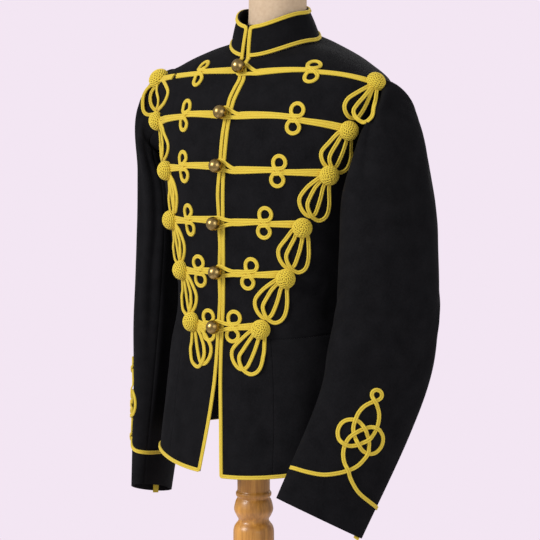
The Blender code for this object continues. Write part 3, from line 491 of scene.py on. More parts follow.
# %% Rings and folds of the sleeves
# Columns: centre x, y, z, half of the wide way, half of the narrow way, turn to the middle, outward tilt
ARM_LEFT = np.array([
    (223.5, 42.5, 1311, 58, 54, 8, 60), (238, 21, 1238, 74, 47, 16, 14), (244, 15, 1160, 77, 52, 20, 0),
    (244, 13, 1080, 80, 51, 22, 0), (240, 2.5, 1000, 82.5, 48, 25, 0), (232, -28, 915, 74, 38, 30, 0),
    (216, -108, 781, 69, 23, 34, 0),
], float)
ARM_RIGHT = np.array([
    (230, 61, 1306, 62, 56, 8, 60), (231, 73, 1238, 75, 45, 16, 14), (236, 77, 1160, 78, 46, 20, 0),
    (241, 76, 1080, 77, 46, 20, 0), (242, 68, 1000, 74, 44, 20, 0), (240, 55, 900, 70, 35, 20, 0),
    (239, 33, 742, 63, 22.5, 20, 0),
], float)
CUFF = float(len(ARM_LEFT))
# Columns as in BODY_FOLDS, with the row down the sleeve in place of the height
LEFT_FOLDS = [
    (39, 0.3, 37, 1.8, 12, 3.0), (62, 0.3, 55, 1.9, 10, -3.6), (-12, 1.7, -16, 3.5, 16, -2.6),
    (10, 1.4, 4, 3.9, 18, 2.0), (74, 3.5, 112, 4.1, 8, -2.2), (58, 4.2, 106, 4.5, 8, -1.9),
    (32, 5.0, 38, 6.3, 14, -1.5), (-88, 3.6, -58, 4.4, 10, 2.2), (150, 0.9, 166, 3.0, 14, -3.0),
    (-150, 0.8, -138, 2.7, 13, -2.8), (178, 3.4, 168, 5.5, 13, -2.2), (-60, 0.5, -52, 2.0, 13, -2.4),
    (-96, 0.7, -86, 2.9, 15, 2.6), (-36, 4.4, -24, 6.1, 14, -1.8), (-110, 4.6, -98, 6.2, 12, -1.8),
    (118, 4.6, 128, 6.3, 12, 1.8),
]
RIGHT_FOLDS = [
    (84, 1.1, 84, 5.3, 10, 2.8), (97, 1.3, 96, 5.1, 8, -2.8), (112, 2.2, 117, 6.3, 10, 2.4),
    (61, 0.5, 65, 3.3, 12, -2.4), (20, 0.4, 16, 2.3, 14, 2.2), (-10, 1.8, -14, 4.3, 15, -2.5),
    (-58, 3.2, -76, 4.7, 11, -2.0), (-130, 0.8, -141, 3.1, 14, -2.8), (158, 0.9, 168, 3.4, 14, -2.8),
    (-82, 0.6, -74, 2.6, 14, 2.6), (36, 3.6, 42, 6.0, 14, -1.7), (-40, 4.8, -34, 6.4, 13, 1.6),
    (-108, 4.0, -118, 5.8, 12, -1.8), (150, 4.4, 141, 6.2, 12, -1.8),
]
SLEEVE_DEGREE, SLEEVE_ROW = 1.1, 95.0     # millimetres for a degree round the arm and for a row down it
HOLE_FULL, CROWN_FULL = 15.0, 4.0         # fullness under the arm and on the shoulder
SLEEVE_SEAT, FOLDS_FROM = 1.2, 0.3        # lift at the seam; rows from it before the folds are full
ARM_STEP, ARM_ROW = 2.0, 0.05             # steps of angle and row by which a direction is measured
# Roll of the sleeve head: height, length in rows, how early it peaks, how far to the back
CROWN_ROLL, ROLL_LONG, ROLL_EARLY, ROLL_BACK = 7.0, 0.8, 0.6, 22.0
SLEEVES = {1: (ARM_LEFT, LEFT_FOLDS), -1: (ARM_RIGHT, RIGHT_FOLDS)}
# How the cuff's end is cut: longer all round, longer on one side and shorter on the other, angle of the longer
CUFF_CUT = {1: (2.0, 4.0, 15.0), -1: (2.0, 10.0, -65.0)}
CUFF_LENGTH, PAST_CUFF = 157.0, 0.1       # length of a sleeve's last row; rows a longer cuff may reach past


def cuff_end(side, phi):
    """Row of the cuff's end at an angle."""
    more, swing, toward = CUFF_CUT[side]
    return CUFF + (more + swing * np.cos(np.radians(phi - toward))) / CUFF_LENGTH


def arm_rings(arm, phi):
    """Rings of a left-hand sleeve at the angles phi, the armhole first."""
    around = np.radians(phi)
    rings = [body(*hole(phi))]
    for (x, y, z, wide, narrow, twist, tilt), run in zip(arm, np.gradient(arm[:, :3], axis=0)):
        down = unit(run)
        twist, tilt = math.radians(twist), math.radians(tilt)
        front = np.array([-math.sin(twist), -math.cos(twist), 0])
        front = unit(front - down * (front @ down))
        outer = np.cross(down, front)
        outer = outer * math.copysign(1, outer[0])
        outer = outer * math.cos(tilt) - down * math.sin(tilt)
        rings.append(np.array([x, y, z]) + narrow * np.cos(around)[..., None] * outer
                     + wide * np.sin(around)[..., None] * front)
    return np.array(rings)


def smooth_sleeve(arm, phi, rows):
    """Sleeve points for matching arrays of angles and rows."""
    phi, rows = np.broadcast_arrays(np.asarray(phi, float), np.asarray(rows, float))
    rings = np.moveaxis(arm_rings(arm, phi.ravel()), 1, 0)
    at = rows.ravel()
    low = np.clip(at.astype(int), 0, rings.shape[1] - 2)
    pick = np.arange(len(at))
    part = (at - low)[:, None]
    last = rings.shape[1] - 1
    b, c = rings[pick, low], rings[pick, low + 1]
    a = np.where((low == 0)[:, None], 2 * b - c, rings[pick, np.maximum(low - 1, 0)])
    d = np.where((low == last - 1)[:, None], 2 * c - b, rings[pick, np.minimum(low + 2, last)])
    high = np.cos(np.radians(phi.ravel()))
    full = HOLE_FULL * (1 - high) / 2 + CROWN_FULL * np.clip(high, 0, 1) ** 2
    near = np.clip(at, 0, 1)
    puff = np.sin(np.pi * near) * full + SLEEVE_SEAT * (1 - near)
    head = np.clip(np.cos(np.radians(phi.ravel() + ROLL_BACK)), 0, 1) ** 2
    puff = puff + CROWN_ROLL * head * np.sin(np.pi * np.minimum(near / ROLL_LONG, 1) ** ROLL_EARLY)
    grid = between(a, b, c, d, part) + puff[:, None] * outward_of(smooth_body, *hole(phi.ravel()))
    return grid.reshape(phi.shape + (3,))


def sleeve(side, phi, rows):
    """Sleeve points with their folds, on the wearer's own side."""
    arm, folds = SLEEVES[side]
    phi, rows = np.broadcast_arrays(np.asarray(phi, float), np.asarray(rows, float))

    def surface(turn, row):
        return smooth_sleeve(arm, turn, row)
    out = outward_of(surface, phi, rows, ARM_STEP, ARM_ROW, 0.0, CUFF)
    table = [(a, b * SLEEVE_ROW, c, d * SLEEVE_ROW, half, depth) for a, b, c, d, half, depth in folds]
    height = folded(phi, rows * SLEEVE_ROW, table, SLEEVE_DEGREE) * ease(rows / FOLDS_FROM)
    return (surface(phi, rows) + out * height[..., None]) * np.array([side, 1, 1])


def sleeve_out(side, phi, rows):
    """Outward direction of a folded sleeve."""
    def surface(turn, row):
        return sleeve(side, turn, row)
    return side * outward_of(surface, phi, rows, ARM_STEP, ROW_STEP, 0.0, CUFF + PAST_CUFF)


# %% Cut the sleeves
FOREARM_SEAM, HINDARM_SEAM, ARM_SEAM_TURN = 112.5, -112.5, 0.24
SLEEVE_ROWS = np.concatenate([np.linspace(0, 1, 34), np.linspace(1, CUFF, 128)[1:]])
for side, word in WORDS:
    for half, first, last, count in (("top", HINDARM_SEAM, FOREARM_SEAM, 62),
                                     ("under", FOREARM_SEAM, HINDARM_SEAM + 360, 38)):
        phi, rows = np.meshgrid(np.linspace(first + ARM_SEAM_TURN, last - ARM_SEAM_TURN, count), SLEEVE_ROWS)
        rows = rows * np.where(rows > CUFF - 1, 1 + (cuff_end(side, phi) / CUFF - 1) * (rows - CUFF + 1), 1)
        grid, out = sleeve(side, phi, rows), sleeve_out(side, phi, rows)
        mask = np.zeros(phi.shape)
        mask[:, [0, -1]] = SEAM_ROLL
        cloth[f"sleeve_{half}_{word}"] = sheet(f"{word}_{half}_sleeve_cloth",
                                               grid - out * mask[..., None], out)
print("sleeves:", [name for name in cloth if name.startswith("sleeve")])

# %% [markdown]
# ## Collar
#
# A standing collar is a stiff band that leans in toward the neck. It is drawn between the neck seam and a
# smaller top ring, and it stays open at the front where the two edges are braided.

# %% Cut the collar
COLLAR_TOP = np.array((1477, 1497, 1503, 51, 49, 57, 48, 2.0), float)
COLLAR_CLOTH, COLLAR_FOOT, COLLAR_OPEN = 2.4, CLOTH / 2 + 0.4, 2.9
COLLAR_TWIST, COLLAR_CLOSE = -1.5, 1.25   # degrees: the foot sits to one side, the edges close toward the top
COLLAR_NEAR, COLLAR_BELLY = 40, 1.0       # degrees near the edges that close; fuller at half its height


def collar(turn, part):
    """Point of the collar, part 0 at the neck seam and 1 at its top edge."""
    turn, part = np.broadcast_arrays(np.asarray(turn, float), np.asarray(part, float))
    aside = (turn + 180) % 360 - 180
    closing = COLLAR_CLOSE * part * np.sign(aside) * np.exp(-(aside / COLLAR_NEAR) ** 2)
    turn = turn + COLLAR_TWIST * (1 - part) - closing
    foot = smooth_body(turn, NECK) + np.array([0, 0, COLLAR_FOOT])
    top = ring(np.broadcast_to(COLLAR_TOP, turn.shape + COLLAR_TOP.shape), turn)
    belly = COLLAR_BELLY * np.sin(np.pi * np.clip(part, 0, 1))
    way = np.stack([np.sin(np.radians(turn)), -np.cos(np.radians(turn)), np.zeros(turn.shape)], -1)
    return foot + (top - foot) * part[..., None] + way * belly[..., None]


def collar_out(turn, part):
    """Outward direction of the collar."""
    return outward_of(collar, turn, part, row_step=0.05, low=-1.0, high=2.0)


COLLAR_START = math.degrees(COLLAR_OPEN / BODY[-1, 3])
turns, parts = np.meshgrid(np.linspace(COLLAR_START, 360 - COLLAR_START, 150), np.linspace(0, 1, 20))
cloth["collar"] = sheet("collar_cloth", collar(turns, parts), collar_out(turns, parts), thick=COLLAR_CLOTH)
print("collar girth", round(lengths(collar(np.arange(361), 0.0))[-1]), "mm")

# %% [markdown]
# ## Braid
#
# The trimming is a flat woollen braid with two rounded ridges and a groove between them, the line along which
# it is sewn. A curve with a bevel would twist as it goes round the body, so each strand is swept here: its
# section stands on the cloth at every step, with the cloth's own outward direction. The length along the
# strand and the place across it are kept as a UV map for the plaited finish.

# %% A strand of braid
CORD_WIDE, CORD_HIGH = 6.0, 2.5
CORD_LIFT, CORD_SMOOTH = CLOTH / 2 + 0.15, 70   # place above the cloth's middle; degrees shaded smooth
STEP, FINE = 1.9, 24                      # length of one step of the sweep; points of a curve for each place
# Across the strand in half widths and up it in heights: from the sewing groove over one ridge to its foot
RIDGE = np.array([(0.0, 0.68), (0.13, 0.79), (0.34, 0.95), (0.6, 0.98), (0.86, 0.76),
                  (1.0, 0.34), (0.94, 0.0)])
SECTION = np.concatenate([RIDGE[:0:-1] * (-1, 1), RIDGE])


def evenly(path, length=None, step=STEP):
    """The columns of a path at even steps along its length, or along a length that is given."""
    length = lengths(path) if length is None else length
    at = np.linspace(0, length[-1], max(3, round(length[-1] / step) + 1))
    return np.column_stack([np.interp(at, length, column) for column in np.transpose(path)])


def smooth_path(points, step=STEP):
    """Even points on a smooth curve through a few places."""
    points = np.asarray(points, float)
    return evenly(spline(points, np.linspace(0, len(points) - 1, FINE * len(points))), step=step)


def strand(path, ups):
    """Points, faces and UVs of one strand that stands on the cloth."""
    path, ups = np.asarray(path, float), unit(np.asarray(ups, float))
    ahead = unit(np.gradient(path, axis=0))
    sides = unit(np.cross(ahead, ups))
    count, corners = len(path), len(SECTION)
    points = (path[:, None] + sides[:, None] * (SECTION[:, :1] * CORD_WIDE / 2)
              + ups[:, None] * (SECTION[:, 1:] * CORD_HIGH))
    length = lengths(path)
    here = np.arange(count - 1)[:, None] * corners + np.arange(corners)
    beside = np.arange(count - 1)[:, None] * corners + (np.arange(corners) + 1) % corners
    faces = np.stack([here, beside, beside + corners, here + corners], -1).reshape(-1, 4)
    across = np.append((SECTION[:, 0] + 1) / 2, 0.0)
    u_low, u_high = np.repeat(length[:-1], corners) * MM, np.repeat(length[1:], corners) * MM
    v_low, v_high = np.tile(across[:-1], count - 1), np.tile(across[1:], count - 1)
    uvs = np.stack([u_low, v_low, u_low, v_high, u_high, v_high, u_high, v_low], -1).reshape(-1, 2)
    faces = faces.tolist() + [list(range(corners))[::-1], [(count - 1) * corners + k for k in range(corners)]]
    ends = [np.column_stack([np.full(corners, length[end] * MM), row]) for end, row in
            ((0, across[:-1][::-1]), (-1, across[:-1]))]
    return points.reshape(-1, 3), faces, np.concatenate([uvs, *ends])


def faced_out(piece):
    """Turns all faces of a piece outward."""
    only(piece)
    bpy.ops.object.mode_set(mode="EDIT")
    bpy.ops.mesh.select_all(action="SELECT")
    bpy.ops.mesh.normals_make_consistent(inside=False)
    bpy.ops.object.mode_set(mode="OBJECT")
    return piece


def braided(name, strands):
    """One piece of several strands, each with its own path and up directions."""
    points, faces, uvs, start = [], [], [], 0
    for path, ups in strands:
        one = strand(path, ups)
        points.append(one[0])
        faces += [[corner + start for corner in face] for face in one[1]]
        uvs.append(one[2])
        start += len(one[0])
    piece = mesh_piece(name, np.concatenate(points), faces, np.concatenate(uvs))
    return shaded(faced_out(piece), CORD_SMOOTH)


def laid_on_body(turn, row, lift):
    """A strand's path and up directions in even steps, from angles, rows and lifts."""
    turn, row, lift = evenly(np.column_stack([turn, row, lift]), lengths(smooth_body(turn, row))).T
    out = body_out(turn, row)
    return body(turn, row) + out * (CORD_LIFT + lift)[:, None], out


print("braid section has", len(SECTION), "points")

# %% [markdown]
# ## Frogging
#
# Each of the six rows is one cord doubled: on the left front it runs out from a crocheted knot, round the ball
# button as a loop and back again, so the bar is two strands side by side. Half way, one strand makes a figure
# of eight over the other. Below the knot hang two loops that pass through each other. On the right the first
# bar is worn through at one place, and its strands are parted there.

# %% Rows of frogging
# For the left and the right: run to the eight; run and height of the knot; heights of the bar at the front
# edge, half way and at the knot; how far the eight leans out. Also the button's run from the closing, and its
# height
ROWS = [
    dict(eight=(126, 75), knot=(235, 204), knot_z=(1395.5, 1388), button=(1, 1409.3), lean=(-1.0, 1.5),
         bar=((1402.0, 1412.5, 1396.0), (1410.0, 1400.5, 1388.0))),
    dict(eight=(122, 83), knot=(199.5, 181), knot_z=(1330, 1327), button=(-5, 1348.4), lean=(1.5, -2.4),
         bar=((1343.4, 1348.0, 1332.5), (1346.0, 1340.5, 1324.0))),
    dict(eight=(101, 78.5), knot=(175, 130), knot_z=(1265, 1256), button=(-1, 1272.5), lean=(1.5, 1.5),
         bar=((1266.0, 1269.5, 1268.0), (1271.3, 1267.2, 1259.0))),
    dict(eight=(79, 65.5), knot=(135.5, 120), knot_z=(1188, 1182), button=(-4, 1188), lean=(1.5, 1.5),
         bar=((1188.5, 1192.5, 1192.0), (1192.3, 1187.5, 1182.5))),
    dict(eight=(52.8, 43.5), knot=(109, 89.5), knot_z=(1112, 1109), button=(-1, 1115.5), lean=(3.5, 1.5),
         bar=((1114.3, 1116.0, 1118.0), (1114.5, 1112.0, 1109.0))),
    dict(eight=(25.5, 22), knot=(72, 58.5), knot_z=(1034.5, 1034), button=(-3, 1033), lean=(2.2, 1.5),
         bar=((1033.0, 1036.5, 1039.0), (1033.0, 1033.0, 1034.0))),
]
LANE = (2.8, 3.1)                         # each strand's place beside the bar's middle, left and right
EIGHT_RING, EIGHT_REACH, EIGHT_ARC = 9.5, 12.6, (-62, 232, 14)   # radius, distance, degrees of one ring
# Width of the rings, left and right of each row
EIGHT_SLIM = [(1, 0.78), (1, 0.8), (1, 0.9), (1, 0.92), (1, 1.2), (1.1, 1.15)]
EIGHT_HALF, EIGHT_IN, EIGHT_RISE = 9, 2, 0.6   # where the eight leaves its lane, turns up, and how far
PATCH = 5                                 # the cloth's slope is measured so far to each side of the eight
PATCH_ROUNDS, PATCH_TURN, PATCH_ROW = 8, 0.1, 0.01   # tries at a place; degrees and rows a slope is taken over
# The part of the eight that is lifted over the bar: half height and half width, each with its soft edge
LIFT_TALL, LIFT_WIDE = (11.5, 5.0), (10.0, 4.0)
# Runs between which the upper and the lower strand of the first right bar are worn away
WORN = [(137, 143.5), (129, 138)]
OVER = 2.0                                # how far a crossing strand is lifted
IN_KNOT, BAR_START = 4, 2.0               # how far a bar runs into its knot, and where a right one starts
LOOP_R, LOOP_LOW, LOOP_LIFT = 8.2, 6.0, 2.4   # radius above and below the button, lift
LOOP_FROM, LOOP_STEP, LOOP_ARC = 30.0, 8, (-64, -296, 15)   # start, first step, degrees of its bend
# The two hanging loops, measured out and up from the knot
DROP_INNER = [(-6, 2), (-17, -4), (-32, -17), (-45, -31), (-47, -41), (-43, -51), (-35, -59), (-27, -61),
              (-20, -57), (-15, -48), (-9, -33), (-4, -16), (1, 2)]
DROP_OUTER = [(5, 2), (6, -19), (6, -39), (3, -54), (-3, -63), (-12, -67), (-20, -65), (-27, -59), (-32, -49),
              (-32, -40), (-24, -26), (-13, -10), (-4, 2)]


def bar_height(row, k, run):
    """Height of a bar's middle at a run from the front edge."""
    front, middle, end = row["bar"][k]
    part = run / row["knot"][k]
    return front + (4 * middle - 3 * front - end) * part + 2 * (front + end - 2 * middle) * part ** 2


def beside(row, k, run, offset):
    """Height of a place beside the bar's middle, by an offset along the cloth."""
    height = bar_height(row, k, run)
    above, below = (smooth_body(*on_body(run, height + step)) for step in (1.0, -1.0))
    return height + 2 * offset / np.linalg.norm(above - below, axis=-1)


def lane(row, k, start, end, offset_start, offset_end):
    """A straight strand along the bar that may change its lane on the way: angles, rows and lifts."""
    run = np.linspace(start, end, max(4, round(abs(end - start) / STEP)))
    offset = offset_start + (offset_end - offset_start) * ease((run - start) / (end - start))
    return np.column_stack([*on_body(run, beside(row, k, run, offset)), np.zeros(len(run))])


def on_cloth(start, ahead, flat):
    """Angles and rows of places measured along and up the cloth from a start, as on a flat patch there."""
    out = outward_of(smooth_body, *start, 0.6, 0.04, HEM, NECK)
    ahead = unit(ahead - out * (ahead @ out))
    up = np.cross(out, ahead) * math.copysign(1, np.cross(out, ahead)[2])
    axes = np.stack([ahead, up], -1)
    turn, row = (np.full(len(flat), float(at)) for at in start)
    for _ in range(PATCH_ROUNDS):
        miss = flat - (smooth_body(turn, row) - smooth_body(*start)) @ axes
        by_turn = smooth_body(turn + PATCH_TURN, row) - smooth_body(turn - PATCH_TURN, row)
        by_row = smooth_body(turn, row + PATCH_ROW) - smooth_body(turn, row - PATCH_ROW)
        by_turn, by_row = by_turn @ axes / (2 * PATCH_TURN), by_row @ axes / (2 * PATCH_ROW)
        area = by_turn[:, 0] * by_row[:, 1] - by_turn[:, 1] * by_row[:, 0]
        turn = turn + (miss[:, 0] * by_row[:, 1] - miss[:, 1] * by_row[:, 0]) / area
        row = np.clip(row + (miss[:, 1] * by_turn[:, 0] - miss[:, 0] * by_turn[:, 1]) / area, HEM, NECK)
    return turn, row


def eight(row, k):
    """The figure of eight: up round the upper ring, slantwise down, round the lower ring and on."""
    run = row["eight"][k]
    near = np.array([run - PATCH, run, run + PATCH])
    turn, up = on_body(near, bar_height(row, k, near))
    angles = np.radians(np.arange(*EIGHT_ARC))
    slim = EIGHT_SLIM[ROWS.index(row)][k]
    upper = EIGHT_RING * np.column_stack([slim * np.cos(angles), np.sin(angles)])
    half = np.concatenate([[(-EIGHT_HALF, LANE[k]), (-EIGHT_IN, LANE[k] + EIGHT_RISE)],
                           np.array([row["lean"][k], EIGHT_REACH]) + upper])
    path = smooth_path(np.concatenate([half, -half[::-1]]))
    beside_it, above_it = np.abs(path).T
    by_height = ease((LIFT_TALL[0] - above_it) / LIFT_TALL[1])
    lift = OVER * by_height * ease((LIFT_WIDE[0] - beside_it) / LIFT_WIDE[1])
    places = smooth_body(turn, up)
    return np.column_stack([*on_cloth((turn[1], up[1]), places[2] - places[0], path), lift])


def button_loop(row):
    """The loop round the button's shank, from the lower lane back to the upper one."""
    middle = button_place(row)
    angles = np.radians(np.linspace(*LOOP_ARC))
    tall = np.where(np.sin(angles) > 0, LOOP_R, LOOP_LOW)
    bend = middle + np.column_stack([LOOP_R * np.cos(angles), tall * np.sin(angles)])
    ends = middle[0] + np.array([LOOP_FROM, LOOP_FROM - LOOP_STEP])
    low = np.column_stack([ends, beside(row, 0, ends, -LANE[0])])
    high = np.column_stack([ends, beside(row, 0, ends, LANE[0])])[::-1]
    path = smooth_path(np.concatenate([low, bend, high]))
    lift = LOOP_LIFT * ease((ends[0] - path[:, 0]) / (LOOP_FROM / 2))
    return np.column_stack([*on_body(path[:, 0], path[:, 1]), lift])


def button_place(row):
    """Run and height of a row's button."""
    run, height = row["button"]
    return np.array([np.interp(height, *CLOSING) + run, height])


# Size of each drop up and across, and how far it is moved out below its knot: left and right of each row
DROP_SIZE = [((0.82, 0.855, 0), (0.86, 0.86, 0)), ((0.92, 0.81, 2.2), (0.92, 1.3, 6)),
             ((1, 0.81, -4.5), (1, 0.5, -7.7)), ((1, 0.84, 2.8), (1, 0.73, -4.4)),
             ((1, 0.92, -4.7), (1, 0.8, -0.5)), ((1, 1, 0), (0.98, 0.84, -4))]
MOVED_BELOW = 20.0                        # over what depth a drop is moved out
# The second loop is lifted between these depths, each with its soft edge
LIFT_FOOT, LIFT_TOP = (68, 9), (30, 12)
AT_KNOT, AT_KNOT_SOFT, KNOT_RISE = 14, 10, 1.2   # both rise near the knot: from where, how softly, how far


def drops(row, k):
    """The two hanging loops in runs, heights and lifts; the second passes over the first."""
    tall, wide, moved = DROP_SIZE[ROWS.index(row)][k]
    made = []
    for places, level in ((DROP_INNER, 0.0), (DROP_OUTER, 1.0)):
        path = smooth_path(np.array(places, float) * (wide, tall))
        out, up = path.T
        lift = ease((up + LIFT_FOOT[0] * tall) / LIFT_FOOT[1]) * ease((-LIFT_TOP[0] * tall - up) / LIFT_TOP[1])
        lift = level * OVER * lift + KNOT_RISE * ease((up + AT_KNOT) / AT_KNOT_SOFT)
        out = out + moved * ease(-up / MOVED_BELOW) + row["knot"][k]
        made.append(np.column_stack([out, up + row["knot_z"][k], lift]))
    return made


def parted(one, row, worn):
    """The two parts of a strand of a right bar, without the worn place."""
    worn = np.array(worn, float)
    near, far = on_body(worn, bar_height(row, 1, worn))[0]
    return [one[one[:, 0] < near], one[one[:, 0] > far]]


def frog(row, side):
    """All strands of one frog as angles, rows and lifts, mirrored for the right front."""
    k = 0 if side > 0 else 1
    run, end = row["eight"][k], row["knot"][k] - IN_KNOT
    middle = button_place(row)
    start = middle[0] + LOOP_FROM if side > 0 else BAR_START - middle[0]
    apart = LANE[k]
    plain = np.concatenate([lane(row, k, end, run, apart, 0.0), lane(row, k, run, start, 0.0, -apart)[1:]])
    fancy = eight(row, k)
    if start < run - EIGHT_HALF:
        fancy = np.concatenate([lane(row, k, start, run - EIGHT_HALF, apart, apart)[:-1], fancy])
    fancy = np.concatenate([fancy, lane(row, k, run + EIGHT_HALF, end, -apart, -apart)[1:]])
    strands = [np.concatenate([plain, button_loop(row)[1:], fancy[1:]])] if side > 0 else [plain, fancy]
    if row is ROWS[0] and side < 0:
        strands = [part for one, worn in zip(strands, WORN) for part in parted(one, row, worn)]
    if row is not ROWS[0]:
        strands += [np.column_stack([*on_body(one[:, 0], one[:, 1]), one[:, 2]]) for one in drops(row, k)]
    return [one * np.array([side, 1, 1]) for one in strands]


# The drops on the shoulders lie partly on the sleeves: the direction they are laid along, the one across,
# how many steps a strand bridges and how much it faces the way it was laid from
LAID = {1: (np.array([-0.64, 0.76, -0.13]), np.array([0.766, 0.643, 0]), 14, 1.0),
        -1: (np.array([0, 1.0, 0]), np.array([1.0, 0, 0]), 1, 0.0)}
SMOOTHED, UNDER = 9, 0.4                  # steps that are smoothed; how far the lower of two loops is lifted
# Places across and up on their two loops
SHOULDER_DROP = {1: [
    [(174, 1382), (165, 1377), (150, 1368.5), (137.5, 1360), (132, 1350), (133.5, 1340), (140, 1332.5),
     (150, 1332), (157, 1340), (164, 1353), (169.5, 1367), (175, 1381)],
    [(174, 1380), (160, 1363), (150, 1351.5), (144.5, 1342.5), (146.5, 1334), (154, 1327), (161, 1324.5),
     (169.5, 1330), (174, 1340), (175.5, 1353), (177, 1364), (179, 1378)],
], -1: [
    [(-196, 1390), (-166, 1388), (-141, 1378), (-136, 1368), (-145, 1355), (-168, 1344), (-192, 1338),
     (-211, 1339), (-222, 1348), (-227, 1361), (-224, 1372), (-212, 1381), (-200, 1386), (-190, 1388)],
    [(-198, 1388), (-184, 1382), (-175, 1371), (-165, 1361), (-167, 1350), (-186, 1341), (-205, 1334),
     (-221, 1331), (-230, 1337), (-235, 1349), (-237, 1362), (-232, 1373), (-218, 1382), (-203, 1387),
     (-191, 1389)],
]}


def smoothed(line, steps):
    """A row of values, each the mean of the steps about it."""
    return np.convolve(np.pad(line, steps // 2, mode="edge"), np.ones(steps) / steps, "valid")


def draped(pieces, side, loop, level):
    """A strand moved along a direction on to the first cloth that it meets, bridging what lies deeper."""
    along, across, bridge, facing = LAID[side]
    points, faces = [], []
    for piece in pieces:
        faces += [[corner + len(points) for corner in face.vertices] for face in piece.data.polygons]
        points += [vertex.co.copy() for vertex in piece.data.vertices]
    tree = BVHTree.FromPolygons(points, faces)
    aims, along = smooth_path([across * out + np.array([0, 0, up]) for out, up in loop]), unit(along)
    found = [tree.ray_cast(Vector(aim * MM - along), Vector(along)) for aim in aims]
    first = np.array([hit[3] for hit in found])
    deep = first.copy()
    for step in range(1, bridge):
        wider = np.pad(deep, step, mode="reflect", reflect_type="odd")
        deep = np.minimum(deep, (wider[:-2 * step] + wider[2 * step:]) / 2)
    lines = np.column_stack([deep, [hit[1] for hit in found]]).T
    soft = np.column_stack([smoothed(line, SMOOTHED) for line in lines])
    deep, ups = soft[:, 0], unit(soft[:, 1:] - facing * along)
    if bridge > 1:
        deep = np.minimum(deep, first)
    return aims + (deep[:, None] - 1) / MM * along + ups * (CORD_LIFT - CLOTH / 2 + level), ups


braid = {}
for number, row in enumerate(ROWS, start=1):
    for side, word in WORDS:
        strands = [laid_on_body(*one.T) for one in frog(row, side)]
        if number == 1:
            under = [cloth["front_" + word], cloth["sleeve_top_" + word]]
            loops = zip(SHOULDER_DROP[side], (UNDER, OVER))
            strands += [draped(under, side, loop, level) for loop, level in loops]
        braid[f"frog_{word}_{number}"] = braided(f"{word}_frog_{number}", strands)
print("frogs:", len(braid), "with", sum(len(piece.data.polygons) for piece in braid.values()), "faces")

# %% [markdown]
# ## Braid on the edges and the collar
#
# One strand runs down each front edge, turns at the corner and follows the hem to the centre back. The right
# one bows a little off the edge between the buttons. Another goes up one edge of the collar, along its top
# and down the other, and a last one covers the neck seam.

# %% Edge and collar braid
EDGE_IN = {1: (2.0, 3.35), -1: (0.7, 3.35)}   # in from the edge at the hem and where it is closed
EDGE_TOP, EDGE_OVER = 1426.0, 60          # where it starts; over what height it moves in
HEM_ROW, HEM_END = 0.018, 179.85          # row along the hem, and the angle at the centre back
BOWED = (1.8, 0.8, 2.3, -1.1, -1.1)       # how far the right braid bows off the edge, between the buttons


def bowed(heights):
    """How far the right edge's braid stands off the closing, at heights."""
    made = np.zeros(len(heights))
    for upper, lower, bow in zip(ROWS, ROWS[1:], BOWED):
        top, foot = upper["button"][1], lower["button"][1]
        made += bow * np.sin(np.pi * np.clip((top - heights) / (top - foot), 0, 1)) ** 2
    return made


for side, word in WORDS:
    low = float(smooth_body(side * 0.01, HEM_ROW)[2])
    heights = np.concatenate([np.linspace(EDGE_TOP, OPENS_AT, 90), np.linspace(OPENS_AT, low, 60)[1:]])
    inward = np.interp(heights, (OPENS_AT - EDGE_OVER, OPENS_AT), EDGE_IN[side])
    if side < 0:
        inward = inward + bowed(heights)
    turn, row = on_body(front_edge(side, heights) + side * inward, heights)
    hem = np.linspace(abs(float(turn[-1])), HEM_END, 260)[1:]
    turn = np.concatenate([turn, side * hem])
    row = np.concatenate([row, np.full(len(hem), HEM_ROW)])
    laid = laid_on_body(turn, row, np.zeros(len(turn)))
    braid["edge_braid_" + word] = braided(f"{word}_edge_braid", [laid])

COLLAR_LIFT, COLLAR_EDGE = COLLAR_CLOTH / 2 + 0.1, 2.6   # above the band's middle; degrees in from its edge
TOP_IN, FOOT_IN, FOOT_FROM = 0.93, 0.075, 2.4   # shares of the height; degrees by which the foot is shorter
UP_EDGE, CORNER = (-0.04, 0.83), (1.2, 0.905)   # shares up the edge; degrees and share at the corner
CORNER_OVER = 6                           # degrees over which the corner turns
COLLAR_MM, COLLAR_FINE = (1.15, 50.0), 2.0   # millimetres for a degree and for the height; step of the sweep
edge_first, edge_last = COLLAR_START + COLLAR_EDGE, 360 - COLLAR_START - COLLAR_EDGE
corner = np.concatenate([np.column_stack([np.zeros(24), np.linspace(*UP_EDGE, 24)]), [CORNER]])
TOP_POINTS = 140
top_turns = np.linspace(edge_first + CORNER_OVER, edge_last - CORNER_OVER, TOP_POINTS)
top = np.column_stack([top_turns, np.full(TOP_POINTS, TOP_IN)])
path = np.concatenate([corner + (edge_first, 0), top, (corner * (-1, 1) + (edge_last, 0))[::-1]])
around = evenly(path * COLLAR_MM, step=COLLAR_FINE) / COLLAR_MM
foot = np.linspace(edge_first + FOOT_FROM, edge_last - FOOT_FROM, 210)
for word, (turn, part) in (("edge", around.T), ("foot", (foot, FOOT_IN))):
    out = collar_out(turn, part)
    braid[f"collar_{word}_braid"] = braided(f"collar_{word}_trim",
                                            [(collar(turn, part) + out * COLLAR_LIFT, out)])
print("edge and collar braid:", [name for name in braid if "frog" not in name])

# %% [markdown]
# ## Cord knots over the cuffs
#
# Each sleeve carries a traditional cord knot: one strand comes round from the front fold, is knotted as a loop
# between two side lobes, turns in a small ring at the top and returns as its own mirror image. Where it meets
# itself it goes over and under by turns, so the lift is worked out from the crossings of the drawn line.

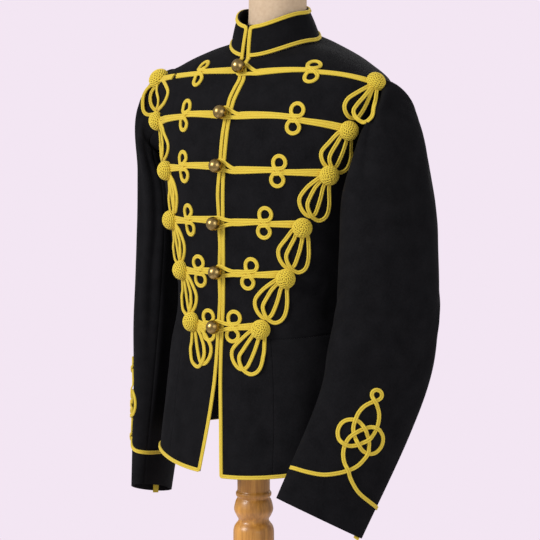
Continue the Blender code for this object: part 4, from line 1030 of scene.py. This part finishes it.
# %% Draw and lay the cuff knots
# Half of the knot from its foot to the top of its ring, out and up
CUFF_KNOT = [(0, 3), (-10, 13), (-16.5, 26.5), (-17.5, 41), (-13.5, 53), (-5, 63), (5, 71.5), (14, 75),
             (24.5, 72.5), (32, 66.5), (35, 56), (32, 45), (25, 38), (15, 36), (5.5, 39), (-5, 47.5),
             (-14, 59), (-17, 72), (-16, 86.5), (-11, 98.5), (-2, 108), (6.5, 114.5), (8, 122), (0, 127)]
CUFF_KNOT_FOOT, CUFF_KNOT_LEAN = {1: 71.0, -1: 75.0}, {1: 0.09, -1: -0.03}
CUFF_LINE = {1: [(78, 45), (54, 47), (30, 53), (12, 64)],
             -1: [(112, 60), (92, 60), (72, 59), (52, 58), (36, 59), (22, 64), (10, 71)]}
CUFF_BACK = [(-12, 63), (-30, 53), (-54, 49), (-78, 48)]
CUFF_TURN = {1: 0.0, -1: 36.0}            # girth from the outermost line; the right sleeve hangs turned
CROSS_LIFT, CROSS_NEAR, CROSS_FAR = 2.3, 3.5, 10.0   # lift over a crossing, and how near it is full and gone
CUFF_STEP, CUFF_SMOOTHED, TINY = 1.7, 7, 1e-9   # step of the drawn line, steps smoothed, the least area


def crossings(path):
    """Places where a flat path crosses itself, as pairs of step numbers."""
    start, step = path[:-1], np.diff(path, axis=0)
    found = []
    for i in range(len(step)):
        j = np.arange(i + 2, len(step))
        away = start[j] - start[i]
        area = step[i, 0] * step[j, 1] - step[i, 1] * step[j, 0]
        area = np.where(np.abs(area) < TINY, TINY, area)
        s = (away[:, 0] * step[j, 1] - away[:, 1] * step[j, 0]) / area
        t = (away[:, 0] * step[i, 1] - away[:, 1] * step[i, 0]) / area
        found += [(i, int(k)) for k in j[(s >= 0) & (s < 1) & (t >= 0) & (t < 1)]]
    return found


def woven_lift(path):
    """Lift along a path that passes over and under itself by turns."""
    length, lift = lengths(path), np.zeros(len(path))
    for at in sorted(at for pair in crossings(path) for at in pair)[1::2]:
        near = (CROSS_FAR - np.abs(length - length[at])) / (CROSS_FAR - CROSS_NEAR)
        lift = np.maximum(lift, CROSS_LIFT * ease(near))
    return lift


SCAN_PHI, SCAN_ROW = np.linspace(-180, 180, 181), np.linspace(4.6, CUFF, 97)


def on_forearm(side, flat):
    """Angles and rows of places given by girth from the outermost line and length up from the cuff's end."""
    grid = smooth_sleeve(SLEEVES[side][0], SCAN_PHI[None], SCAN_ROW[:, None])
    girth = np.cumsum(np.linalg.norm(np.diff(grid, axis=1), axis=2), axis=1)
    girth = np.concatenate([np.zeros((len(grid), 1)), girth], axis=1)
    girth = girth - girth[:, len(SCAN_PHI) // 2][:, None]
    length = np.cumsum(np.linalg.norm(np.diff(grid, axis=0), axis=2), axis=0)
    length = length[-1] - np.concatenate([np.zeros((1, grid.shape[1])), length])
    places = []
    for out_by, up_by in flat:
        phi, row = 0.0, CUFF - 1
        for _ in range(7):
            line = length[:, int(np.clip(np.searchsorted(SCAN_PHI, phi), 0, len(SCAN_PHI) - 1))]
            row = float(np.interp(-up_by, -line, SCAN_ROW))
            level = girth[int(np.clip(np.searchsorted(SCAN_ROW, row), 0, len(SCAN_ROW) - 1))]
            phi = float(np.interp(out_by, level, SCAN_PHI))
        places.append((phi, row))
    return np.array(places).T


knot_line = CUFF_KNOT + [(-x, y) for x, y in CUFF_KNOT[-2::-1]]
for side, word in WORDS:
    lean = CUFF_KNOT_LEAN[side]
    leaning = [(x + lean * y, y - lean * x + CUFF_KNOT_FOOT[side]) for x, y in knot_line]
    cuff_flat = smooth_path(CUFF_LINE[side] + leaning + CUFF_BACK, CUFF_STEP)
    places = on_forearm(side, cuff_flat + np.array([CUFF_TURN[side], 0]))
    phi, row = (smoothed(line, CUFF_SMOOTHED) for line in places)
    out = sleeve_out(side, phi, row)
    path = sleeve(side, phi, row) + out * (CORD_LIFT + woven_lift(cuff_flat))[:, None]
    braid["cuff_cord_" + word] = braided(f"{word}_cuff_knot", [(path, out)])
print("cuff knots cross themselves", len(crossings(cuff_flat)), "times")

# %% [markdown]
# ## Crocheted knots
#
# The button at the end of each bar is a wad of wool covered in crochet: rows of small slanting stitches that
# grow from the middle outward, with a hole where four of them meet. One is modelled from a sphere cut
# below its middle, and its surface is raised stitch by stitch; how far each point is raised is kept, and the
# finish paints the holes dark as painted shade. The twelve on the jacket are copies, each turned to stand on
# the cloth.

# %% Model one crocheted knot
KNOT_R, KNOT_HIGH, KNOT_CUT = 14.8, 12.6, -0.36   # half width, half height, where the ball is cut off
KNOT_LIFT = CLOTH / 2 - KNOT_CUT * KNOT_HIGH
STITCH_ROW, STITCH_WIDE, STITCH_HIGH = 3.7, 5.0, 1.7
STITCH_SLANT, HOLE_SOFT, CUT_NEAR = 0.5, 0.45, 0.01   # slant in stitches; softness of holes; plain cut face

bpy.ops.object.select_all(action="DESELECT")
bpy.ops.mesh.primitive_uv_sphere_add(segments=132, ring_count=92, radius=1.0)
knot_model = bpy.context.object
knot_model.name = "crochet_model"
bpy.ops.object.mode_set(mode="EDIT")
bpy.ops.mesh.select_all(action="SELECT")
bpy.ops.mesh.bisect(plane_co=(0, 0, KNOT_CUT), plane_no=(0, 0, 1), clear_inner=True, use_fill=True)
bpy.ops.object.mode_set(mode="OBJECT")


def crochet(ball):
    """Stitches at places on a unit ball, 0 in a hole and 1 on a stitch: slanting, in rows round the crown."""
    deep = math.degrees(STITCH_ROW / KNOT_R)
    fall = np.degrees(np.arccos(np.clip(ball[:, 2], -1, 1))) / deep
    row = np.floor(fall)
    inside = fall - row - 0.5
    girth = 2 * np.pi * KNOT_R * np.sin(np.radians((row + 0.5) * deep))
    count = np.maximum(3, np.round(girth / STITCH_WIDE))
    phase = np.arctan2(ball[:, 1], ball[:, 0]) / (2 * np.pi) * count + 0.5 * (row % 2) + STITCH_SLANT * inside
    return 1 - ((1 - np.abs(np.cos(np.pi * phase))) * (1 - np.cos(np.pi * inside))) ** HOLE_SOFT


def places_of(piece):
    """Places of all points of a piece."""
    return np.array([point.co[:] for point in piece.data.vertices])


def stitched(piece, values):
    """Keeps with each point of a piece how far it is raised by a stitch."""
    kept = piece.data.attributes.new("stitch", "FLOAT", "POINT")
    kept.data.foreach_set("value", np.asarray(values, np.float32))


ball = places_of(knot_model)
stitch = np.where(ball[:, 2] > KNOT_CUT + CUT_NEAR, crochet(ball), 0.0)
shaped = ball * (np.array([KNOT_R, KNOT_R, KNOT_HIGH]) - STITCH_HIGH)
shaped = shaped + unit(ball) * (STITCH_HIGH * stitch)[:, None]
knot_model.data.vertices.foreach_set("co", (shaped * MM).astype(np.float32).ravel())
stitched(knot_model, stitch)
only(knot_model)
bpy.ops.object.shade_smooth()


def standing(points, run, height, lift, pulled=(0, 0, 0)):
    """Points moved to stand on the body at a run and a height, pulled round by some share."""
    turn, row = on_body(run, height)
    up = unit(body_out(turn, row) + np.array(pulled))
    across = unit(np.cross([0, 0, 1], up))
    level = points[:, :1] * across + points[:, 1:2] * np.cross(up, across)
    return body(turn, row) + level + (points[:, 2:] + lift) * up


def copied(model, name, points):
    """A copy of a model with its own mesh, at the given points in millimetres."""
    piece = bpy.data.objects.new(name, model.data.copy())
    bpy.context.scene.collection.objects.link(piece)
    piece.data.vertices.foreach_set("co", (points * MM).astype(np.float32).ravel())
    piece.data.update()
    return piece


# Some knots are pulled round, by what is added to the cloth's own direction: right row by row
PULLED = [(0.38, -0.22, 0.35), (0.4, -0.45, 0), (0.15, -0.2, 0), (0.08, -0.1, 0), (0, 0, 0), (0, 0, 0)]
WIDEST = 1.14                             # the knot on the right shoulder is pressed wider
SPIN_ROW, SPIN_SIDE = 47, 31              # degrees by which the knots are turned apart
knots = {}
for number, row in enumerate(ROWS, start=1):
    for k, (side, word) in enumerate(WORDS):
        spin = math.radians(SPIN_ROW * number + SPIN_SIDE * k)
        c, s = math.cos(spin), math.sin(spin)
        size = WIDEST if number == 1 and side < 0 else 1.0
        points = shaped @ np.array([[c, s, 0], [-s, c, 0], [0, 0, 1]]) * (size, size, 1)
        facing = PULLED[number - 1] if side < 0 else (0, 0, 0)
        points = standing(points, side * row["knot"][k], row["knot_z"][k], KNOT_LIFT, facing)
        knots[f"knot_{word}_{number}"] = copied(knot_model, f"{word}_crochet_knot_{number}", points)
bpy.data.objects.remove(knot_model, do_unlink=True)
print("crocheted knots:", len(knots), "of", len(shaped), "points each")

# %% [markdown]
# ## Turned pieces: ball buttons, neck cap, post and base
#
# Anything turned on a lathe can be made by hand from one circle: extrude the rim upward, scale it, and again.
# The short lists of radius and height are the turner's marks. A smooth curve between the marks rounds them.

# %% The lathe
LEAST_R, TURNED_SMOOTH = 0.4, 50          # least radius; degrees shaded smooth


def lathe(name, marks, sides=64, fine=4):
    """A turned piece about the upright axis, from radius and height marks in millimetres."""
    marks = np.array(marks, float)
    profile = spline(marks, np.linspace(0, len(marks) - 1, (len(marks) - 1) * fine + 1))
    profile[:, 0] = np.maximum(profile[:, 0], LEAST_R)
    bpy.ops.object.select_all(action="DESELECT")
    bpy.ops.mesh.primitive_circle_add(vertices=sides, radius=profile[0, 0] * MM, fill_type="NGON",
                                      location=(0, 0, profile[0, 1] * MM))
    piece = bpy.context.object
    piece.name = name
    bpy.ops.object.transform_apply(location=True, rotation=True, scale=True)
    bpy.ops.object.mode_set(mode="EDIT")
    bpy.ops.mesh.select_all(action="SELECT")
    for (radius, height), (wide, up) in zip(profile[:-1], profile[1:]):
        bpy.ops.mesh.extrude_region_move(TRANSFORM_OT_translate={"value": (0, 0, (up - height) * MM)})
        bpy.ops.transform.resize(value=(wide / radius, wide / radius, 1), center_override=(0, 0, up * MM))
    bpy.ops.object.mode_set(mode="OBJECT")
    return shaded(faced_out(piece), TURNED_SMOOTH)


NECK_Y = 56.5                             # the neck's axis lies behind the post's
NECK_CAP = [(43.0, 1546.3), (44.5, 1550), (42.0, 1558), (30.0, 1562.5), (4.0, 1564)]
POST = [(22, 50.3), (30, 58), (31, 70), (24, 84), (21, 120), (19, 260), (21, 420), (26, 560), (30, 660),
        (31, 704), (29.5, 718), (23, 728), (26.5, 736), (29.8, 745), (27.5, 757), (24.8, 763), (26.8, 766.5),
        (26.8, 771), (24.8, 774.5), (24.7, 790), (24.7, 1012.6)]
BASE = [(196, 0.0), (200, 8), (200, 18), (190, 26), (120, 34), (60, 44), (40, 50)]
turned = {"stand_post": lathe("turned_post", POST), "stand_base": lathe("turned_base", BASE, sides=96),
          "neck_cap": lathe("wooden_neck_cap", NECK_CAP)}
turned["neck_cap"].data.transform(Matrix.Translation((0, NECK_Y * MM, 0)))
print("turned pieces:", {name: len(piece.data.polygons) for name, piece in turned.items()})

# %% Ball buttons
BUTTON_R, BUTTON_LIFT = 10.4, CLOTH / 2 + 14.5
SHANK = [(2.4, -12.6), (2.4, -11.0)]
ball_turns = np.radians(np.arange(-72, 85, 12))
ball_marks = list(zip(BUTTON_R * np.cos(ball_turns), BUTTON_R * np.sin(ball_turns)))
button_model = lathe("button_model", SHANK + ball_marks + [(LEAST_R, BUTTON_R)], sides=40, fine=2)
button_points = places_of(button_model) / MM
buttons = {}
for number, row in enumerate(ROWS, start=1):
    points = standing(button_points, *button_place(row), BUTTON_LIFT)
    buttons[f"button_{number}"] = copied(button_model, f"ball_button_{number}", points)
bpy.data.objects.remove(button_model, do_unlink=True)
print("ball buttons:", len(buttons))

# %% [markdown]
# ## The dress form
#
# Under the jacket stands a limbless form covered in linen. It follows the jacket's own rings, moved in so that
# it never shows through the cloth, and is drawn up to a round neck. Only the neck shows, and the underside
# from below.

# %% Shape the form
FORM_FOOT, FORM_FOOT_Z = 2.36, 1013.0
FORM_GAP = [(2.0, 10.0), (4.0, 9.0), (6.0, 8.0), (7.2, 9.0), (8.5, 8.0), (NECK, 5.0)]   # row, gap to cloth
NECK_COLUMN = [(48, 1468), (45.4, 1474), (44, 1482), (43.5, 1494), (43.4, 1520), (43.4, 1545.9)]
FORM_SIDES = 96
form_turns = np.linspace(0, 360, FORM_SIDES, endpoint=False)
form_rings = []
for row in np.linspace(FORM_FOOT, NECK, 72):
    gap = np.interp(row, *np.array(FORM_GAP).T)
    form_rings.append(smooth_body(form_turns, row) - gap * outward_of(smooth_body, form_turns, row))
form_rings[0][:, 2] = FORM_FOOT_Z
angle = np.radians(form_turns)
for radius, height in spline(np.array(NECK_COLUMN, float), np.linspace(0, len(NECK_COLUMN) - 1, 21)):
    round_neck = [radius * np.sin(angle), NECK_Y - radius * np.cos(angle), np.full(FORM_SIDES, height)]
    form_rings.append(np.column_stack(round_neck))
number = np.arange(len(form_rings) * FORM_SIDES).reshape(len(form_rings), FORM_SIDES)
after = np.roll(number, -1, axis=1)
form_faces = np.stack([number[:-1], after[:-1], after[1:], number[1:]], -1).reshape(-1, 4).tolist()
form_faces += [number[0][::-1].tolist(), number[-1].tolist()]
form = shaded(mesh_piece("linen_form", np.concatenate(form_rings), form_faces), TURNED_SMOOTH)
print("form:", len(form_faces), "faces")

# %% [markdown]
# ## Cuff tapes
#
# A short end of yellow tape shows at the hind edge of each cuff. It is a thin strip that hangs from inside the
# sleeve and is bent with the cloth.

# %% Cuff tapes
TAPE_PHI, TAPE_SHOWS = {1: -64.0, -1: -50.0}, {1: 4.0, -1: 3.0}
TAPE_WIDE, TAPE_LONG, TAPE_THICK = 12.0, 16.0, 1.0
TAPE_IN, TAPE_SAG, TAPE_UP = CLOTH / 2 + 1.7, 0.35, 0.2   # how far inside, its bend, rows it follows
# The crochet finish paints shade where the stitch value is low; at this value the tape takes none of it.
TAPE_STITCH = 0.8                         # plain tape counts as raised, so that it takes the stitches' colour
for side, word in WORDS:
    phi = TAPE_PHI[side]
    end = sleeve(side, [phi, phi], [CUFF - TAPE_UP, cuff_end(side, phi)])
    out = sleeve_out(side, [phi], [CUFF])[0]
    down = unit(end[1] - end[0])
    across = np.cross(down, out)
    x, y = np.meshgrid(np.linspace(-1, 1, 7), np.linspace(-1, 1, 9))
    middle = end[1] - out * TAPE_IN - down * (TAPE_LONG / 2 - TAPE_SHOWS[side])
    grid = middle + across * (x * TAPE_WIDE / 2)[..., None] + down * (y * TAPE_LONG / 2)[..., None]
    grid = grid - out * (TAPE_SAG * np.cos(x * math.pi / 2))[..., None]
    tape = sheet(f"{word}_cuff_tape", grid, np.broadcast_to(out, grid.shape), thick=TAPE_THICK)
    stitched(tape, np.full(len(tape.data.vertices), TAPE_STITCH))
    braid["cuff_tape_" + word] = tape
print("tapes:", TAPE_WIDE, "by", TAPE_LONG, "mm")

# %% [markdown]
# ## Finishes
#
# Six finishes cover the whole object. The wool is almost black and quite matt, with the cloudy nap of felted
# cloth. The braid is yellow worsted with plaited ribs that run slantwise over each ridge; its colour carries
# painted shade in the sewing groove and in the dips between the ribs. The crochet is the same wool, with
# painted shade darkening the holes between its stitches. The brass is old and dull, the linen coarse, the
# wood varnished, with its grain up the post and across the base and the cap.


# %% Tools for materials
def finish(name, **sockets):
    """New material with a Principled shader; uniform values are set on its own sockets."""
    made = bpy.data.materials.new(name)
    made.use_nodes = True
    shader = made.node_tree.nodes["Principled BSDF"]
    for key, value in sockets.items():
        shader.inputs[key.replace("_", " ")].default_value = value
    return made, made.node_tree, shader


def add(tree, kind, inputs=(), **settings):
    """New node with its settings; inputs are (socket, value) pairs, where a value may be another's output."""
    made = tree.nodes.new(kind)
    for key, value in settings.items():
        setattr(made, key, value)
    for socket, value in inputs:
        if isinstance(value, bpy.types.NodeSocket):
            tree.links.new(value, made.inputs[socket])
        else:
            made.inputs[socket].default_value = value
    return made


def noise(tree, place, scale, detail=4.0, rough=0.55):
    """Noise of a scale in waves for one metre."""
    inputs = [("Vector", place), ("Scale", scale), ("Detail", detail), ("Roughness", rough)]
    return add(tree, "ShaderNodeTexNoise", inputs).outputs["Fac"]


def own_place(tree):
    """Place in the object's own coordinates."""
    return add(tree, "ShaderNodeTexCoord").outputs["Object"]


def two_colours(tree, factor, low, high, low_at, high_at):
    """Colour ramp between two colours."""
    ramp = add(tree, "ShaderNodeValToRGB", [("Fac", factor)])
    for element, colour, at in zip(ramp.color_ramp.elements, (low, high), (low_at, high_at)):
        element.color, element.position = (*colour, 1), at
    return ramp.outputs["Color"]


def mixed_colour(tree, factor, low, high):
    """Mix of two colours, each a value or another's output."""
    inputs = [("Factor", factor), ("A", low), ("B", high)]
    return add(tree, "ShaderNodeMix", inputs, data_type="RGBA").outputs["Result"]


def mapped(tree, value, low, high, to_low=0.0, to_high=1.0):
    """A value stretched from one range to another."""
    inputs = [("Value", value), ("From Min", low), ("From Max", high), ("To Min", to_low), ("To Max", to_high)]
    return add(tree, "ShaderNodeMapRange", inputs).outputs[0]


def sums(tree, operation, *values):
    """One arithmetic node."""
    return add(tree, "ShaderNodeMath", list(enumerate(values)), operation=operation).outputs[0]


def both(tree, first, first_share, second, second_share):
    """Two values added by their shares."""
    first, second = sums(tree, "MULTIPLY", first, first_share), sums(tree, "MULTIPLY", second, second_share)
    return sums(tree, "ADD", first, second)


def paint(tree, shader, colour):
    """Links a colour to a shader."""
    tree.links.new(colour, shader.inputs["Base Color"])


def bump(tree, shader, height, distance, strength=1.0):
    """Bump from a height, with its distance in metres."""
    made = add(tree, "ShaderNodeBump", [("Height", height), ("Distance", distance), ("Strength", strength)])
    tree.links.new(made.outputs["Normal"], shader.inputs["Normal"])


# %% Wool
wool, tree, shader = finish("black_wool", Roughness=0.9, Specular_IOR_Level=0.1)
place = own_place(tree)
cloud, nap, fibre = noise(tree, place, 42.0), noise(tree, place, 420.0, 3.0), noise(tree, place, 1700.0, 2.0)
cloudy = both(tree, cloud, 0.55, nap, 0.45)
paint(tree, shader, two_colours(tree, cloudy, (0.0034, 0.0033, 0.0041), (0.0088, 0.0084, 0.0098), 0.32, 0.68))
felt = sums(tree, "ADD", nap, sums(tree, "MULTIPLY", fibre, 0.6))
bump(tree, shader, felt, 0.00035, 0.6)
print("wool ready")

# %% Braid
PLAIT, SLANT = 430.0, 2.2                 # plaits in one metre of braid; how far they slant over its width
SHEEN = dict(Sheen_Weight=0.12, Sheen_Roughness=0.45)
worsted, tree, shader = finish("yellow_braid", Roughness=0.78, Specular_IOR_Level=0.25, **SHEEN)
coords = add(tree, "ShaderNodeTexCoord")
parts = add(tree, "ShaderNodeSeparateXYZ", [("Vector", coords.outputs["UV"])])
from_groove = sums(tree, "ABSOLUTE", sums(tree, "SUBTRACT", parts.outputs["Y"], 0.5))
slant = both(tree, parts.outputs["X"], PLAIT, from_groove, SLANT)
rib = sums(tree, "SINE", sums(tree, "MULTIPLY", slant, 2 * math.pi))
rib = sums(tree, "MULTIPLY_ADD", rib, 0.5, 0.5)
# Painted shade: the colour darkens toward the sewing groove, where the real groove lies in shade.
groove = mapped(tree, from_groove, 0.0, 0.1)
fuzz = noise(tree, coords.outputs["Object"], 900.0, 3.0)
age = noise(tree, coords.outputs["Object"], 36.0, 4.0)
# Painted shade: the rib's share darkens the colour in the dips between the plaited ribs; the fuzz is the
# yarn's own uneven tone.
fuzz_and_rib_shade = both(tree, rib, 0.35, fuzz, 0.65)
bright = two_colours(tree, fuzz_and_rib_shade, (0.66, 0.46, 0.035), (0.86, 0.66, 0.075), 0.25, 0.75)
aged = mixed_colour(tree, sums(tree, "MULTIPLY", age, 0.28), bright, (0.60, 0.43, 0.05, 1))
paint(tree, shader, mixed_colour(tree, groove, (0.60, 0.42, 0.035, 1), aged))
bump(tree, shader, sums(tree, "ADD", rib, sums(tree, "MULTIPLY", fuzz, 0.5)), 0.00022, 0.7)
print("braid ready")

# %% Crochet
crochet_wool, tree, shader = finish("yellow_crochet", Roughness=0.8, Specular_IOR_Level=0.22, **SHEEN)
place = own_place(tree)
fuzz, age = noise(tree, place, 800.0, 3.0), noise(tree, place, 60.0, 4.0)
bright = two_colours(tree, both(tree, fuzz, 0.7, age, 0.3), (0.68, 0.48, 0.036), (0.88, 0.68, 0.075), 0.3, 0.7)
# Painted shade: where the stitch value is low, in the holes between stitches, the colour turns dark brown.
hole_shade_mask = mapped(tree, add(tree, "ShaderNodeAttribute", attribute_name="stitch").outputs["Fac"], 0.28, 0.66)
paint(tree, shader, mixed_colour(tree, hole_shade_mask, (0.13, 0.07, 0.005, 1), bright))
bump(tree, shader, fuzz, 0.00025, 0.6)
print("crochet ready")

# %% Brass
brass, tree, shader = finish("old_brass", Metallic=1.0)
place = own_place(tree)
stain, scratch = noise(tree, place, 220.0, 5.0), noise(tree, place, 1400.0, 2.0)
paint(tree, shader, two_colours(tree, stain, (0.27, 0.175, 0.055), (0.50, 0.35, 0.13), 0.3, 0.7))
tree.links.new(mapped(tree, stain, 0.3, 0.7, 0.42, 0.27), shader.inputs["Roughness"])
bump(tree, shader, scratch, 0.00008, 0.4)
print("brass ready")

# %% Linen
THREADS, LINEN_R = 900.0, 0.044           # threads in one metre; radius of the neck in metres
linen, tree, shader = finish("form_linen", Roughness=0.88, Specular_IOR_Level=0.2)
place = own_place(tree)
axes = add(tree, "ShaderNodeSeparateXYZ", [("Vector", place)])
weft = sums(tree, "SINE", sums(tree, "MULTIPLY", axes.outputs["Z"], THREADS * 2 * math.pi))
side_way = sums(tree, "ARCTAN2", axes.outputs["X"], sums(tree, "SUBTRACT", axes.outputs["Y"], NECK_Y * MM))
warp = sums(tree, "SINE", sums(tree, "MULTIPLY", side_way, THREADS * LINEN_R * 2 * math.pi))
weave = sums(tree, "MULTIPLY", weft, warp)
slub = noise(tree, place, 160.0, 4.0)
paint(tree, shader, two_colours(tree, slub, (0.64, 0.465, 0.31), (0.72, 0.545, 0.375), 0.3, 0.7))
bump(tree, shader, sums(tree, "ADD", weave, slub), 0.00015, 0.5)
print("linen ready")

# %% Wood
def varnished(name, stretch):
    """Varnished wood, with its grain drawn out along the axis that is stretched least."""
    made, tree, shader = finish(name, Roughness=0.38, Coat_Weight=0.35, Coat_Roughness=0.2)
    long_grain = add(tree, "ShaderNodeMapping", [("Vector", own_place(tree)), ("Scale", stretch)]).outputs[0]
    grain, figure = noise(tree, long_grain, 190.0, 6.0, 0.6), noise(tree, long_grain, 38.0, 4.0)
    streaks = both(tree, grain, 0.6, figure, 0.4)
    paint(tree, shader, two_colours(tree, streaks, (0.37, 0.142, 0.022), (0.83, 0.395, 0.079), 0.34, 0.66))
    bump(tree, shader, grain, 0.0002, 0.25)
    return made


GRAIN_LONG = 0.07                         # scale along the grain, against 1 across it
wood, board = varnished("varnished_wood", (1, 1, GRAIN_LONG)), varnished("varnished_board", (GRAIN_LONG, 1, 1))
print("wood ready, up the post and across the boards")

# %% [markdown]
# ## Put it together
#
# Every new piece gets its finish and rides on the one body of the frame, and the plain solid that it stands
# for is hidden.

# %% Finish and place every piece
for node_name, piece in {**cloth, **braid, **knots, **buttons, **turned, "form_torso": form}.items():
    if node_name in cloth:
        look, slot = wool, "wool"
    elif node_name in knots:
        look, slot = crochet_wool, "braid"
    elif node_name in braid:
        look, slot = (crochet_wool if "tape" in node_name else worsted), "braid"
    elif node_name in buttons:
        look, slot = brass, "brass"
    else:
        own = {"form_torso": (linen, "linen"), "stand_post": (wood, "wood")}
        look, slot = own.get(node_name, (board, "wood"))
    piece.data.materials.clear()
    piece.data.materials.append(look)
    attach(piece, "root")
    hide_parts(node_name)
print("pieces placed:", len(cloth) + len(braid) + len(knots) + len(buttons) + len(turned) + 1)

# %% [markdown]
# ## Light and ground
#
# The jacket is lit by one large soft light from the front left and a weak one from the other side, before a
# pale lilac ground. The world is that ground, and it also fills the shadows. A small round floor carries the
# stand.

# %% Stage
GROUND = (0.896, 0.791, 0.896)
FILL, FILL_COLOUR = 0.46, (0.86, 0.84, 0.88)   # how much light from all round reaches the object
bpy.context.scene.view_settings.view_transform = "Standard"
world = bpy.data.worlds.new("studio")
bpy.context.scene.world = world
world.use_nodes = True
tree = world.node_tree
seen = tree.nodes["Background"]
seen.inputs["Color"].default_value = (*GROUND, 1)
filling = add(tree, "ShaderNodeBackground", [("Color", (*FILL_COLOUR, 1)), ("Strength", FILL)]).outputs[0]
is_seen = add(tree, "ShaderNodeLightPath").outputs["Is Camera Ray"]
ground = add(tree, "ShaderNodeMixShader", [(0, is_seen), (1, filling), (2, seen.outputs[0])])
tree.links.new(ground.outputs[0], tree.nodes["World Output"].inputs["Surface"])

LIT_AT = (0, 0, 1.15)                     # the lights look at the jacket's middle
LIGHTS = [   # name, place in metres, size in metres, power in watts
    ("key", (-1.5, -3.4, 3.0), 1.8, 130),
    ("side", (3.4, -1.2, 2.2), 2.2, 44),
    ("behind", (-1.2, 3.2, 2.6), 2.0, 40),
]
for name, at, size, power in LIGHTS:
    toward = Vector(at) - Vector(LIT_AT)
    bpy.ops.object.light_add(type="AREA", location=at, rotation=toward.to_track_quat("Z", "Y").to_euler())
    bpy.context.object.name = name
    bpy.context.object.data.size = size
    bpy.context.object.data.energy = power

FLOOR_R, FLOOR_THICK, FLOOR_TOP = 1.5, 0.02, -0.0002
bpy.ops.object.select_all(action="DESELECT")
bpy.ops.mesh.primitive_cylinder_add(vertices=128, radius=FLOOR_R, depth=FLOOR_THICK,
                                    location=(0, 0, -FLOOR_THICK / 2 + FLOOR_TOP))
floor = bpy.context.object
floor.name = "floor"
pale, tree, shader = finish("pale_floor", Roughness=0.8)
speck = noise(tree, own_place(tree), 30.0)
paint(tree, shader, two_colours(tree, speck, (0.76, 0.72, 0.78), (0.80, 0.76, 0.82), 0.3, 0.7))
floor.data.materials.append(pale)
print("lights:", len(LIGHTS))
